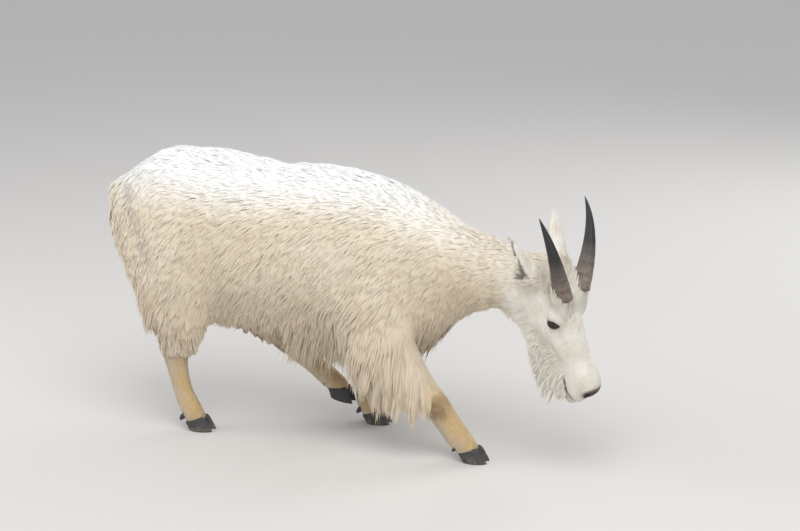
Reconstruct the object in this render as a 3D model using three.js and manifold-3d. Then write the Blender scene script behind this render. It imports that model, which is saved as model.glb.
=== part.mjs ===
// A mountain goat at life size, walking with its head lowered to graze. The body is one smooth
// form, parted by thin cuts into torso, neck, head and legs; ears, eyes, horns, claws and tail
// are pieces of their own. The long coat is tapered locks rooted in the body. Millimetres, +X
// towards the head, +Y to the animal's left, +Z up, hooves on the floor.
import * as THREE from 'three';
import { mergeVertices } from 'three/addons/utils/BufferGeometryUtils.js';
import Module from 'manifold-3d';

const wasm = await Module();
wasm.setup();

// Driving dimensions
const GAP = 0.3;                    // between pieces that meet
const CENTRE_SHIFT = new THREE.Vector3(140.5, 38.5, 0); // puts the middle of the footprint at 0, 0
const HEAD_LENGTH = 345;            // poll to the middle of the nose
const HORN_BASE = 27;               // half thickness of a horn at the forehead, fore and aft
const EYE_RADIUS = 18;
const EAR_THICKNESS = 5;
const CLAW_LENGTH = 68;
const CLAW_WIDTH = 29;
const CLAW_HEIGHT = 44;
const LEG_SPREAD = 112;             // from the middle plane to the middle of a foot
const LOCK_ROOT = 13;               // how deep a lock of long hair is rooted
const LOCK_THICKNESS = 11;
const SEED = 20417;

// The head's own frame: origin at the poll, f towards the nose, u out of the forehead and r to
// the animal's right. The head is lowered, and turned a little to the right.
const POLL = new THREE.Vector3(496, -130, 576);
const FACE = new THREE.Vector3(0.3734, -0.0547, -0.9261).normalize();
const RIGHT = new THREE.Vector3(-0.2798, -0.9584, -0.0562).addScaledVector(
  FACE, -FACE.dot(new THREE.Vector3(-0.2798, -0.9584, -0.0562))).normalize();
const CROWN = new THREE.Vector3().crossVectors(RIGHT, FACE);
const HEAD_FRAME = new THREE.Matrix4().makeBasis(FACE, CROWN, RIGHT).setPosition(POLL);
const HEAD_INVERSE = HEAD_FRAME.clone().invert();
const BODY_FRAME = new THREE.Matrix4();

// Fields. A field is a function of a point that is negative inside the form.
function smoothMin(a, b, k) {
  const h = Math.max(k - Math.abs(a - b), 0) / k;
  return Math.min(a, b) - h * h * k * 0.25;
}

// A limb runs through stations [x, y, z, half depth, half width]; its sections are ovals, wide
// across `side` (the index of the lateral axis) and deep in the plane that the limb bends in.
function limb(stations, { side = 1, power = 2, steps = 4 } = {}) {
  const fine = [];
  for (let i = 0; i + 1 < stations.length; i += 1) {
    const [a, b, c, d] = [i - 1, i, i + 1, i + 2].map(
      (k) => stations[Math.min(Math.max(k, 0), stations.length - 1)]);
    for (let s = 0; s < steps; s += 1) {
      const t = s / steps;
      fine.push(b.map((_, n) => 0.5 * (2 * b[n] + (c[n] - a[n]) * t
        + (2 * a[n] - 5 * b[n] + 4 * c[n] - d[n]) * t * t
        + (3 * b[n] - a[n] - 3 * c[n] + d[n]) * t * t * t)));
    }
  }
  fine.push(stations[stations.length - 1]);
  return (p) => {
    let best = Infinity;
    for (let i = 0; i + 1 < fine.length; i += 1) {
      const a = fine[i];
      const b = fine[i + 1];
      const ab = [b[0] - a[0], b[1] - a[1], b[2] - a[2]];
      const length2 = ab[0] ** 2 + ab[1] ** 2 + ab[2] ** 2;
      let t = ((p[0] - a[0]) * ab[0] + (p[1] - a[1]) * ab[1] + (p[2] - a[2]) * ab[2]) / length2;
      t = Math.min(Math.max(t, 0), 1);
      const d = [p[0] - a[0] - ab[0] * t, p[1] - a[1] - ab[1] * t, p[2] - a[2] - ab[2] * t];
      const across = Math.abs(d[side]);
      const along = Math.sqrt(Math.max(d[0] ** 2 + d[1] ** 2 + d[2] ** 2 - across ** 2, 0));
      const depth = a[3] + (b[3] - a[3]) * t;
      const width = a[4] + (b[4] - a[4]) * t;
      const q = power === 2
        ? Math.hypot(along / depth, across / width)
        : ((along / depth) ** power + (across / width) ** power) ** (1 / power);
      best = Math.min(best, (q - 1) * Math.min(depth, width));
    }
    return best;
  };
}

// An oval lump at a centre, with three half sizes.
function lump(centre, radii, power = 2) {
  const least = Math.min(...radii);
  return (p) => {
    let sum = 0;
    for (let n = 0; n < 3; n += 1) sum += Math.abs((p[n] - centre[n]) / radii[n]) ** power;
    return (sum ** (1 / power) - 1) * least;
  };
}

function joined(fields, k) {
  return (p) => fields.reduce((d, field) => smoothMin(d, field(p), k), 1e6);
}

// A field that holds only inside a box, far from which it isn't worked out.
function within(field, low, high, far = 60) {
  return (p) => {
    let out = 0;
    for (let n = 0; n < 3; n += 1) out = Math.max(out, low[n] - p[n], p[n] - high[n]);
    return out > far ? out : Math.max(field(p), out - far);
  };
}

// The head in its own frame (f, u, r): skull and face, jaw, muzzle, brows, cheeks and lips.
const FACE_LINE = [
  [14, -66, 0, 58, 58], [62, -68, 0, 69, 66], [112, -70, 0, 68, 66], [165, -66, 0, 60, 54],
  [220, -61, 0, 51, 43], [270, -57, 0, 45, 38], [HEAD_LENGTH - 42, -55, 0, 42, 36],
];
const JAW_LINE = [
  [70, -112, 0, 48, 46], [130, -116, 0, 38, 42], [200, -108, 0, 27, 31],
  [270, -101, 0, 20, 25], [HEAD_LENGTH - 30, -99, 0, 18, 21],
];
// Thick hair under the jaw, down to the chin.
const BEARD_LINE = [
  [95, -118, 0, 48, 38], [160, -130, 0, 46, 34], [230, -136, 0, 42, 30], [298, -140, 0, 35, 22],
];
const EYE = [124, -44, 54];         // middle of the right eyeball, in the head's frame
const HORN_ROOT = [66, 2, 46];
const EAR_ROOT = [2, -58, 66];
const EAR_TIP = [-143, -44, 121];
const MOUTH_LEVEL = -92;
const bothSides = (make) => [1, -1].map(make);
const headField = joined([
  limb(FACE_LINE, { side: 2, power: 2.3 }),
  limb(JAW_LINE, { side: 2 }),
  limb(BEARD_LINE, { side: 2 }),
  lump([HEAD_LENGTH - 38, -54, 0], [46, 42, 36], 2.6),
  ...bothSides((s) => lump([108, -24, 52 * s], [30, 18, 17])),
  ...bothSides((s) => lump([118, -92, 34 * s], [62, 46, 28])),
  ...bothSides((s) => lump([HORN_ROOT[0] + 4, -12, 44 * s], [38, 20, 34])),
  ...bothSides((s) => lump([EAR_ROOT[0] + 12, EAR_ROOT[1], 52 * s], [30, 30, 26])),
  ...bothSides((s) => lump([HEAD_LENGTH - 30, -76, 20 * s], [36, 17, 18])),
  lump([HEAD_LENGTH - 22, -105, 0], [26, 13, 22]),
], 14);

// The body: trunk, rump, shoulders and neck.
const TRUNK = [
  [-750, 0, 636, 70, 70], [-708, 0, 604, 164, 110], [-655, 0, 594, 214, 138],
  [-560, 0, 584, 236, 158], [-450, 0, 570, 234, 168], [-340, 0, 556, 232, 170],
  [-240, 0, 558, 236, 164], [-150, 0, 553, 232, 150], [-60, 0, 536, 212, 132],
  [20, -8, 516, 184, 112],
];
const NECK = [
  [-40, -8, 546, 184, 112], [60, -22, 533, 168, 100], [150, -42, 530, 142, 86],
  [240, -64, 536, 116, 74], [330, -88, 530, 98, 68], [410, -108, 520, 82, 60],
];

// The legs, each from the trunk to the pastern: [x, y, z, half depth, half width].
const Y = LEG_SPREAD;
const LEGS = {
  fore_right: [
    [-75, -88, 560, 128, 52], [-48, -104, 430, 108, 62], [-8, -114, 335, 88, 56],
    [50, -118, 248, 72, 47], [106, -Y, 190, 50, 40], [142, -Y, 152, 44, 37],
    [176, -Y, 106, 39, 32], [205, -Y, 68, 38, 33], [231, -Y, 36, 33, 31],
  ],
  fore_left: [
    [-85, 88, 560, 128, 52], [-75, 104, 430, 106, 62], [-76, 112, 330, 82, 56],
    [-98, 112, 245, 60, 45], [-122, Y, 186, 41, 37], [-134, Y, 140, 34, 31],
    [-142, Y, 95, 31, 29], [-138, Y, 64, 33, 31], [-124, Y, 34, 31, 31],
  ],
  hind_right: [
    [-668, -74, 585, 130, 62], [-646, -98, 450, 118, 68], [-634, -106, 350, 86, 56],
    [-642, -104, 280, 60, 44], [-648, -Y + 8, 226, 44, 36], [-640, -Y + 8, 168, 35, 30],
    [-626, -Y + 8, 112, 32, 29], [-606, -Y + 8, 66, 33, 31], [-590, -Y + 8, 36, 31, 31],
  ],
  hind_left: [
    [-680, 74, 585, 150, 62], [-600, 100, 468, 138, 68], [-512, 108, 378, 104, 56],
    [-444, 106, 304, 68, 44], [-396, Y - 8, 243, 46, 37], [-350, Y - 8, 202, 38, 31],
    [-304, Y - 8, 167, 33, 29], [-261, Y - 8, 135, 33, 31], [-225, Y - 8, 106, 31, 30],
  ],
};
// Each foot: where the middle of the two claws' sole is, and how far the toe dips, in degrees.
const FEET = {
  fore_right: { at: [256, -Y, 0], dip: 0 },
  fore_left: { at: [-102, Y, 0], dip: 0 },
  hind_right: { at: [-570, -Y + 8, 0], dip: 0 },
  hind_left: { at: [-212, Y - 8, 65], dip: 14 },
};

const headInBody = (p) => {
  const v = new THREE.Vector3(...p).applyMatrix4(HEAD_INVERSE);
  return headField([v.x, v.y, v.z]);
};
const legField = Object.fromEntries(Object.entries(LEGS).map(([name, line]) => {
  const reach = (n, sign) => sign * Math.max(...line.map((s) => sign * s[n])) + sign * 90;
  return [name, within(limb(line), [0, 1, 2].map((n) => reach(n, -1)),
    [0, 1, 2].map((n) => reach(n, 1)))];
}));
const trunkFields = [
  limb(TRUNK, { power: 2.3 }),
  lump([-684, -62, 588], [108, 80, 182]),
  lump([-684, 62, 588], [108, 80, 182]),
  within(limb(NECK, { power: 2.2 }), [-120, -220, 280], [520, 120, 780]),
];
const BLEND = 46;                   // how far neighbouring forms run into each other
const bodyField = joined([...trunkFields, ...Object.values(legField),
  within(headInBody, [300, -300, 100], [760, 60, 760])], BLEND);

// The mesher: one vertex in each cell that the surface crosses, moved onto the surface.
function steps(from, to, step) {
  const count = Math.max(1, Math.round((to - from) / step));
  return Array.from({ length: count + 1 }, (_, i) => from + ((to - from) * i) / count);
}

function skin(field, frame, axes) {
  const [nx, ny, nz] = axes.map((a) => a.length);
  const values = new Float64Array(nx * ny * nz);
  const at = (i, j, k) => (i * ny + j) * nz + k;
  const point = new THREE.Vector3();
  const sample = (a, b, c) => {
    point.set(a, b, c).applyMatrix4(frame);
    return field([point.x, point.y, point.z]);
  };
  for (let i = 0; i < nx; i += 1) {
    for (let j = 0; j < ny; j += 1) {
      for (let k = 0; k < nz; k += 1) {
        const edge = i === 0 || j === 0 || k === 0 || i === nx - 1 || j === ny - 1 || k === nz - 1;
        const v = sample(axes[0][i], axes[1][j], axes[2][k]);
        values[at(i, j, k)] = edge ? Math.max(v, 0.5) : v;
      }
    }
  }
  // A face whose corners are in and out crosswise would pinch the surface: its faintest corner
  // changes sides.
  for (let pass = 0; pass < 3; pass += 1) {
    for (let i = 0; i < nx - 1; i += 1) {
      for (let j = 0; j < ny - 1; j += 1) {
        for (let k = 0; k < nz - 1; k += 1) {
          for (let axis = 0; axis < 3; axis += 1) {
            const four = [[0, 0], [1, 0], [1, 1], [0, 1]].map(([du, dv]) => {
              const c = [i, j, k];
              c[(axis + 1) % 3] += du;
              c[(axis + 2) % 3] += dv;
              return at(...c);
            });
            const [a, b, c, d] = four.map((n) => values[n] < 0);
            if (a !== c || b !== d || a === b) continue;
            const faint = four.reduce((m, n) => (
              Math.abs(values[n]) < Math.abs(values[m]) ? n : m));
            values[faint] = values[faint] < 0 ? 1e-3 : -1e-3;
          }
        }
      }
    }
  }
  const cells = new Map();
  const positions = [];
  const cellVertex = (i, j, k) => {
    const key = at(i, j, k);
    if (cells.has(key)) return cells.get(key);
    const sum = [0, 0, 0];
    let count = 0;
    for (let axis = 0; axis < 3; axis += 1) {
      for (let corner = 0; corner < 4; corner += 1) {
        const a = [i, j, k];
        a[(axis + 1) % 3] += corner & 1;
        a[(axis + 2) % 3] += corner >> 1;
        const b = [...a];
        b[axis] += 1;
        const va = values[at(...a)];
        const vb = values[at(...b)];
        if (va < 0 === vb < 0) continue;
        const t = va / (va - vb);
        for (let n = 0; n < 3; n += 1) {
          sum[n] += axes[n][a[n]] + (axes[n][b[n]] - axes[n][a[n]]) * t;
        }
        count += 1;
      }
    }
    const p = sum.map((s) => s / count);
    const size = axes.map((axis, n) => axis[[i, j, k][n] + 1] - axis[[i, j, k][n]]);
    const low = axes.map((axis, n) => axis[[i, j, k][n]] + 0.06 * size[n]);
    const high = axes.map((axis, n) => axis[[i, j, k][n] + 1] - 0.06 * size[n]);
    for (let pass = 0; pass < 3; pass += 1) {
      const v = sample(...p);
      const slope = [0, 1, 2].map((n) => {
        const q = [...p];
        q[n] += 1;
        return sample(...q) - v;
      });
      const steep = Math.max(slope[0] ** 2 + slope[1] ** 2 + slope[2] ** 2, 0.05);
      for (let n = 0; n < 3; n += 1) {
        p[n] = Math.min(Math.max(p[n] - (0.8 * v * slope[n]) / steep, low[n]), high[n]);
      }
    }
    point.set(...p).applyMatrix4(frame);
    positions.push(point.x, point.y, point.z);
    cells.set(key, positions.length / 3 - 1);
    return positions.length / 3 - 1;
  };
  const index = [];
  const corner = (n) => new THREE.Vector3(...positions.slice(3 * n, 3 * n + 3));
  for (let axis = 0; axis < 3; axis += 1) {
    const [u, v] = [(axis + 1) % 3, (axis + 2) % 3];
    for (let i = 0; i < nx - 1; i += 1) {
      for (let j = 0; j < ny - 1; j += 1) {
        for (let k = 0; k < nz - 1; k += 1) {
          const a = [i, j, k];
          if (a[u] === 0 || a[v] === 0) continue;
          const b = [...a];
          b[axis] += 1;
          const inside = values[at(...a)] < 0;
          if (inside === values[at(...b)] < 0) continue;
          const ring = [[0, 0], [1, 0], [1, 1], [0, 1]].map(([du, dv]) => {
            const c = [...a];
            c[u] -= du;
            c[v] -= dv;
            return cellVertex(...c);
          });
          if (!inside) ring.reverse();
          const [p, q, r, s] = ring;
          if (corner(p).distanceTo(corner(r)) < corner(q).distanceTo(corner(s))) {
            index.push(p, q, r, p, r, s);
          } else index.push(q, r, s, q, s, p);
        }
      }
    }
  }
  return solid(positions, index);
}

// Solids and cuts
function solid(positions, index) {
  const mesh = new wasm.Mesh({
    numProp: 3,
    vertProperties: new Float32Array(positions),
    triVerts: new Uint32Array(index),
  });
  mesh.merge();
  return new wasm.Manifold(mesh);
}

function fromGeometry(geometry) {
  const bare = geometry.index ? geometry.clone() : geometry;
  bare.deleteAttribute('normal');
  bare.deleteAttribute('uv');
  const merged = mergeVertices(bare, 1e-3);
  return solid(merged.attributes.position.array, merged.index.array);
}

// Everything beyond a plane, as a very large block with one face on the plane.
function beyond(through, normal, slack = 0) {
  const size = 3000;
  const n = new THREE.Vector3(...normal).normalize();
  const turn = new THREE.Quaternion().setFromUnitVectors(new THREE.Vector3(0, 0, 1), n);
  const centre = new THREE.Vector3(...through).addScaledVector(n, size / 2 + slack);
  const geometry = new THREE.BoxGeometry(size, size, size);
  geometry.applyQuaternion(turn);
  geometry.translate(centre.x, centre.y, centre.z);
  return fromGeometry(geometry);
}

function blockOf(low, high) {
  const geometry = new THREE.BoxGeometry(high[0] - low[0], high[1] - low[1], high[2] - low[2]);
  geometry.translate(...[0, 1, 2].map((n) => (low[n] + high[n]) / 2));
  return fromGeometry(geometry);
}

function largest(piece) {
  const parts = piece.decompose();
  return parts.reduce((a, b) => (a.volume() > b.volume() ? a : b));
}

// A form through rings of points, capped at both ends.
function loft(rings) {
  const positions = rings.flat(2);
  const count = rings[0].length;
  const index = [];
  for (let i = 0; i + 1 < rings.length; i += 1) {
    for (let j = 0; j < count; j += 1) {
      const a = i * count + j;
      const b = i * count + ((j + 1) % count);
      index.push(a, b, b + count, a, b + count, a + count);
    }
  }
  for (const [start, flip] of [[0, true], [(rings.length - 1) * count, false]]) {
    const middle = [0, 1, 2].map((n) => {
      let sum = 0;
      for (let j = 0; j < count; j += 1) sum += positions[3 * (start + j) + n];
      return sum / count;
    });
    positions.push(...middle);
    const m = positions.length / 3 - 1;
    for (let j = 0; j < count; j += 1) {
      const a = start + j;
      const b = start + ((j + 1) % count);
      index.push(...(flip ? [m, b, a] : [m, a, b]));
    }
  }
  const made = solid(positions, index);
  if (made.volume() > 0) return made;
  for (let i = 0; i < index.length; i += 3) [index[i], index[i + 1]] = [index[i + 1], index[i]];
  return solid(positions, index);
}

// The same form with every face moved out, as a cutter that leaves a gap.
function swollen(piece, by = GAP) {
  const { vertProperties: at, triVerts: index } = piece.getMesh();
  const corner = (n) => new THREE.Vector3(at[3 * n], at[3 * n + 1], at[3 * n + 2]);
  const faces = Array.from({ length: at.length / 3 }, () => []);
  for (let i = 0; i < index.length; i += 3) {
    const [a, b, c] = [0, 1, 2].map((n) => corner(index[i + n]));
    const normal = b.sub(a).cross(c.sub(a)).normalize();
    for (let n = 0; n < 3; n += 1) faces[index[i + n]].push(normal);
  }
  const moved = faces.flatMap((normals, n) => {
    const move = new THREE.Vector3();
    for (let pass = 0; pass < 30; pass += 1) {
      for (const normal of normals) {
        const short = 1 - normal.dot(move);
        if (short > 0) move.addScaledVector(normal, short);
      }
    }
    return corner(n).addScaledVector(move.clampLength(0, 8), by).toArray();
  });
  return solid(moved, index);
}

// Cuts leave corners almost on top of each other: each such pair is made one corner.
function tidied(piece, short = 0.06) {
  const { vertProperties: at, triVerts: index } = piece.getMesh();
  const owner = Array.from({ length: at.length / 3 }, (_, n) => n);
  const root = (n) => (owner[n] === n ? n : root(owner[n]));
  const corner = (n) => new THREE.Vector3(at[3 * n], at[3 * n + 1], at[3 * n + 2]);
  for (let i = 0; i < index.length; i += 1) {
    const a = index[i];
    const b = index[i % 3 === 2 ? i - 2 : i + 1];
    if (corner(a).distanceTo(corner(b)) < short) owner[root(a)] = root(b);
  }
  const faces = new Map();
  for (let i = 0; i < index.length; i += 3) {
    const face = [0, 1, 2].map((n) => root(index[i + n]));
    if (new Set(face).size < 3) continue;
    const key = [...face].sort((a, b) => a - b).join();
    if (faces.has(key)) faces.delete(key);
    else faces.set(key, face);
  }
  try {
    return solid(at, [...faces.values()].flat());
  } catch {
    return short > 0.002 ? tidied(piece, short / 2) : piece;
  }
}

// Where the body is parted. A leg is all of the body beyond its planes.
const REGIONS = {
  fore_right: [[[0, -44, 0], [0, -1, 0]], [[-20, 0, 388], [0.12, 0, -1]],
    [[-190, 0, 0], [1, 0, 0]], [[112, 0, 296], [-0.75, 0, -0.66]]],
  fore_left: [[[0, 44, 0], [0, 1, 0]], [[-60, 0, 388], [-0.06, 0, -1]],
    [[-230, 0, 0], [1, 0, 0]], [[40, 0, 0], [-1, 0, 0]]],
  hind_right: [[[0, -40, 0], [0, -1, 0]], [[-660, 0, 408], [0.04, 0, -1]],
    [[-900, 0, 0], [1, 0, 0]], [[-500, 0, 0], [-1, 0, 0]]],
  hind_left: [[[0, 40, 0], [0, 1, 0]], [[-520, 0, 408], [0.5, 0, -0.86]],
    [[-408, 0, 376], [-0.752, 0, -0.66]], [[-700, 0, 0], [1, 0, 0]]],
};
// Where each leg is parted into upper and lower leg, at the knee or the hock.
const JOINTS = {
  fore_right: [[132, 0, 172], [0.62, 0, -0.78]],
  fore_left: [[-126, 0, 168], [-0.2, 0, -0.98]],
  hind_right: [[-668, 0, 246], [0.2, 0, -0.98]],
  hind_left: [[-416, 0, 266], [0.62, 0, -0.78]],
};
const NECK_ROOT = [[64, 0, 520], [0.985, -0.1, 0.12]];
const NECK_HEAD = [[392, -112, 505], [0.9, -0.17, -0.4]];

function region(name, slack) {
  return REGIONS[name].reduce((piece, [through, normal]) => (
    piece.intersect(beyond(through, normal, slack))), blockOf([-1200, -500, -300], [900, 500, 900]));
}

// Feet. The claws are built along +X from the middle of the sole, the top slanting to the heel.
const CORONET_SLOPE = 0.34;
const CORONET = CLAW_HEIGHT - 4;    // height of the coronet above the middle of the sole

function footFrame(name) {
  const { at, dip } = FEET[name];
  return new THREE.Matrix4().makeRotationY(THREE.MathUtils.degToRad(dip)).setPosition(...at);
}

function placed(piece, matrix) {
  const mesh = piece.getMesh();
  const geometry = new THREE.BufferGeometry();
  geometry.setAttribute('position', new THREE.BufferAttribute(mesh.vertProperties.slice(), 3));
  geometry.applyMatrix4(matrix);
  return solid(geometry.attributes.position.array, mesh.triVerts);
}

function claw(name, inner) {
  const rings = [];
  const levels = [0, 0.18, 0.6, 1];
  const points = 10;
  for (const t of levels) {
    const flare = t === 0 ? 0.93 : 1 - 0.16 * t;
    const ring = [];
    for (let i = 0; i < points; i += 1) {
      const angle = (2 * Math.PI * i) / points;
      const c = Math.cos(angle);
      const s = Math.sin(angle);
      const toe = c > 0 ? 0.56 * CLAW_LENGTH : 0.44 * CLAW_LENGTH;
      const x = toe * Math.sign(c) * Math.abs(c) ** 0.85 * flare - 20 * t;
      const half = 0.5 * CLAW_WIDTH * (c > 0 ? 1 - 0.42 * c * c : 1);
      const y = half * s * flare * (s * inner < 0 ? 0.92 : 1);
      ring.push([x, y, t * (CORONET + CORONET_SLOPE * x)]);
    }
    rings.push(ring);
  }
  const middle = new THREE.Matrix4().makeRotationZ(-inner * 0.05)
    .setPosition(0, inner * (0.5 * CLAW_WIDTH + 2.2), 0);
  return placed(loft(rings), footFrame(name).multiply(middle));
}

function dewclaw(name, inner) {
  const rings = [0, 1].map((t) => Array.from({ length: 7 }, (_, i) => {
    const angle = (2 * Math.PI * i) / 7;
    const r = 9 * (1 - 0.35 * t);
    return [-48 - 15 * t, inner * 15 + r * Math.cos(angle), 44 - 13 * t + 1.2 * r * Math.sin(angle)];
  }));
  return placed(loft(rings), footFrame(name));
}

// Horns, ears and eyes, in the head's frame; side is 1 for the right and -1 for the left.
const HORN_LINE = [HORN_ROOT, [-60, 71, 112], [-161, 65, 121]];

function horn(side) {
  const at = (t) => new THREE.QuadraticBezierCurve3(
    ...HORN_LINE.map((p) => new THREE.Vector3(p[0], p[1], p[2] * side))).getPoint(t);
  const rings = [];
  const stations = 11;
  for (let i = 0; i <= stations; i += 1) {
    const t = -0.06 + (1.06 * i) / stations;
    const centre = t < 0 ? at(0).lerp(at(0.06), t / 0.06) : at(t);
    const along = at(Math.max(t, 0) + 0.01 > 1 ? 1 : Math.max(t, 0) + 0.01)
      .sub(at(Math.min(Math.max(t, 0), 0.99))).normalize();
    const out = new THREE.Vector3(0, 0, side);
    const across = out.addScaledVector(along, -out.dot(along)).normalize();
    const front = new THREE.Vector3().crossVectors(across, along);
    const size = HORN_BASE * (1 - Math.max(t, 0)) ** 0.82 * (1 - 0.12 * Math.max(t, 0)) + 1.6;
    rings.push(Array.from({ length: 10 }, (_, j) => {
      const angle = (2 * Math.PI * j) / 10;
      return centre.clone().addScaledVector(front, size * Math.cos(angle))
        .addScaledVector(across, size * 0.84 * Math.sin(angle)).toArray();
    }));
  }
  return placed(loft(rings), HEAD_FRAME);
}

function ear(side) {
  const root = new THREE.Vector3(EAR_ROOT[0], EAR_ROOT[1], EAR_ROOT[2] * side);
  const tip = new THREE.Vector3(EAR_TIP[0], EAR_TIP[1], EAR_TIP[2] * side);
  const along = tip.clone().sub(root).normalize();
  // The cup opens outwards, back and down.
  const open = new THREE.Vector3(-0.1, -0.75, 0.66 * side);
  open.addScaledVector(along, -open.dot(along)).normalize();
  const across = new THREE.Vector3().crossVectors(along, open);
  const length = root.distanceTo(tip);
  const rings = [];
  const stations = 8;
  for (let i = 0; i <= stations; i += 1) {
    const t = i / stations;
    const half = 6 + 21 * Math.sin(Math.PI * Math.min(0.22 + 0.78 * t, 1)) ** 0.8 * (1 - 0.35 * t);
    const width = t === 1 ? 2.5 : half;
    const depth = 28 * (1 - t) ** 0.7 * Math.min(1, 0.4 + 2 * t) + 1;
    const wrap = THREE.MathUtils.degToRad(125 - 45 * t);
    const centre = root.clone().addScaledVector(along, length * t)
      .addScaledVector(open, 10 * t * (1 - t));
    const wall = t === 1 ? 1 : EAR_THICKNESS * (1.2 - 0.6 * t);
    const ring = [];
    const points = 6;
    for (const [shell, flip] of [[0, 1], [1, -1]]) {
      for (let j = 0; j < points; j += 1) {
        const a = flip * wrap * ((2 * j) / (points - 1) - 1);
        const w = width - shell * wall;
        const d = depth - shell * wall;
        ring.push(centre.clone().addScaledVector(across, Math.max(w, 0.6) * Math.sin(a))
          .addScaledVector(open, -Math.max(d, 0.5) * Math.cos(a)).toArray());
      }
    }
    rings.push(ring);
  }
  return placed(loft(rings), HEAD_FRAME);
}

function eyeAxes(side) {
  const gaze = new THREE.Vector3(0.26, 0.12, side).normalize();
  const along = new THREE.Vector3(0.66, 0.75, 0);
  along.addScaledVector(gaze, -along.dot(gaze)).normalize();
  return { gaze, along, up: new THREE.Vector3().crossVectors(along, gaze).multiplyScalar(-side) };
}

function eyeball(side, radius, detail) {
  const geometry = new THREE.SphereGeometry(radius, detail, detail / 2);
  geometry.translate(EYE[0], EYE[1], EYE[2] * side);
  return placed(fromGeometry(geometry), HEAD_FRAME);
}

// A lid is a curved band over the eyeball, from its edge back into the head.
function lid(side, upper) {
  const { gaze, along, up } = eyeAxes(side);
  const centre = new THREE.Vector3(EYE[0], EYE[1], EYE[2] * side);
  const rings = [];
  const stations = 8;
  const reach = THREE.MathUtils.degToRad(66);
  for (let i = 0; i <= stations; i += 1) {
    const turn = reach * ((2 * i) / stations - 1);
    const openness = Math.cos((turn / reach) * (Math.PI / 2)) ** 0.8;
    const edge = THREE.MathUtils.degToRad(upper ? 2 + 25 * openness : 2 + 23 * openness);
    const back = THREE.MathUtils.degToRad(74);
    const ring = [];
    for (const [r, from, to] of [[EYE_RADIUS + GAP, edge, back],
      [EYE_RADIUS + 4.2, back, edge]]) {
      for (let j = 0; j < 3; j += 1) {
        const tilt = (from + ((to - from) * j) / 2) * (upper ? 1 : -1);
        const bulge = r + (j === 1 ? 0.4 : 0);
        ring.push(centre.clone()
          .addScaledVector(gaze, bulge * Math.cos(tilt) * Math.cos(turn))
          .addScaledVector(along, bulge * Math.cos(tilt) * Math.sin(turn))
          .addScaledVector(up, bulge * Math.sin(tilt)).toArray());
      }
    }
    rings.push(ring);
  }
  return placed(loft(rings), HEAD_FRAME);
}

// The mouth line: a thin curved plate that follows the muzzle, cut into it all round.
function mouthCut() {
  const rings = [];
  const stations = 12;
  for (let i = 0; i <= stations; i += 1) {
    const angle = Math.PI * (i / stations - 0.5) * 1.02;
    const f = HEAD_LENGTH - 62 + 78 * Math.max(Math.cos(angle), 0) ** 0.8;
    const out = [Math.cos(angle), Math.sin(angle)];
    const ring = [];
    for (const [depth, lift] of [[10, -2], [10, 2], [-9, 1], [-9, -1]]) {
      const level = MOUTH_LEVEL - 5 * Math.cos(angle) + 2 * Math.abs(Math.sin(angle)) ** 6;
      ring.push([f + depth * out[0], level + lift, 37 * out[1] + depth * out[1]]);
    }
    rings.push(ring);
  }
  return placed(loft(rings), HEAD_FRAME);
}

function nostrilCut(side) {
  const geometry = new THREE.SphereGeometry(1, 10, 6);
  geometry.scale(12, 5, 9);
  geometry.rotateZ(-0.5);
  geometry.rotateY(-0.7 * side);
  geometry.translate(HEAD_LENGTH + 1, -46, 22 * side);
  return placed(fromGeometry(geometry), HEAD_FRAME);
}

// Pieces
const nodes = {};
const torsoStep = 46;
const thighStep = 29;
const shankStep = 23;
const wholeBody = skin(bodyField, BODY_FRAME, [steps(-940, 180, torsoStep),
  steps(-220, 220, torsoStep - 2), steps(250, 900, torsoStep)]);
nodes.torso = wholeBody.subtract(beyond(...NECK_ROOT));
for (const name of Object.keys(LEGS)) {
  nodes.torso = nodes.torso.subtract(region(name, -GAP));
  const line = LEGS[name];
  const low = [0, 1, 2].map((n) => Math.min(...line.slice(1).map((s) => s[n])) - 125);
  const high = [0, 1, 2].map((n) => Math.max(...line.slice(1).map((s) => s[n])) + 125);
  const bounds = [[low[0], high[0]], [Math.max(low[1], -220), Math.min(high[1], 220)],
    [Math.max(low[2], -20), high[2]]];
  const alone = joined([...trunkFields, legField[name]], BLEND);
  const [thigh, shank] = [thighStep, shankStep].map((step) => skin(alone, BODY_FRAME,
    bounds.map(([from, to]) => steps(from, to, step))).intersect(region(name, 0)));
  const frame = footFrame(name);
  const top = new THREE.Vector3(0, 0, CORONET + GAP).applyMatrix4(frame);
  const slope = new THREE.Vector3(-CORONET_SLOPE, 0, 1).transformDirection(frame);
  const foot = beyond(top.toArray(), slope.toArray());
  const [through, normal] = JOINTS[name];
  const back = normal.map((v) => -v);
  nodes[`${name}_upper`] = thigh.intersect(beyond(through, back, GAP / 2));
  nodes[`${name}_lower`] = shank.intersect(beyond(through, normal, GAP / 2)).intersect(foot);
  for (const inner of [1, -1]) {
    const where = inner > 0 ? 'left' : 'right';
    nodes[`claw_${name}_${where}`] = claw(name, inner);
    const spur = dewclaw(name, inner);
    nodes[`dewclaw_${name}_${where}`] = spur;
    nodes[`${name}_lower`] = nodes[`${name}_lower`].subtract(swollen(spur));
  }
}

nodes.neck = skin(bodyField, BODY_FRAME, [steps(10, 480, 40), steps(-240, 140, 37),
  steps(280, 790, 40)]).intersect(beyond(...NECK_ROOT, GAP))
  .subtract(beyond(...NECK_HEAD))
  .subtract(region('fore_right', -GAP))
  .subtract(region('fore_left', -GAP));

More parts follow.
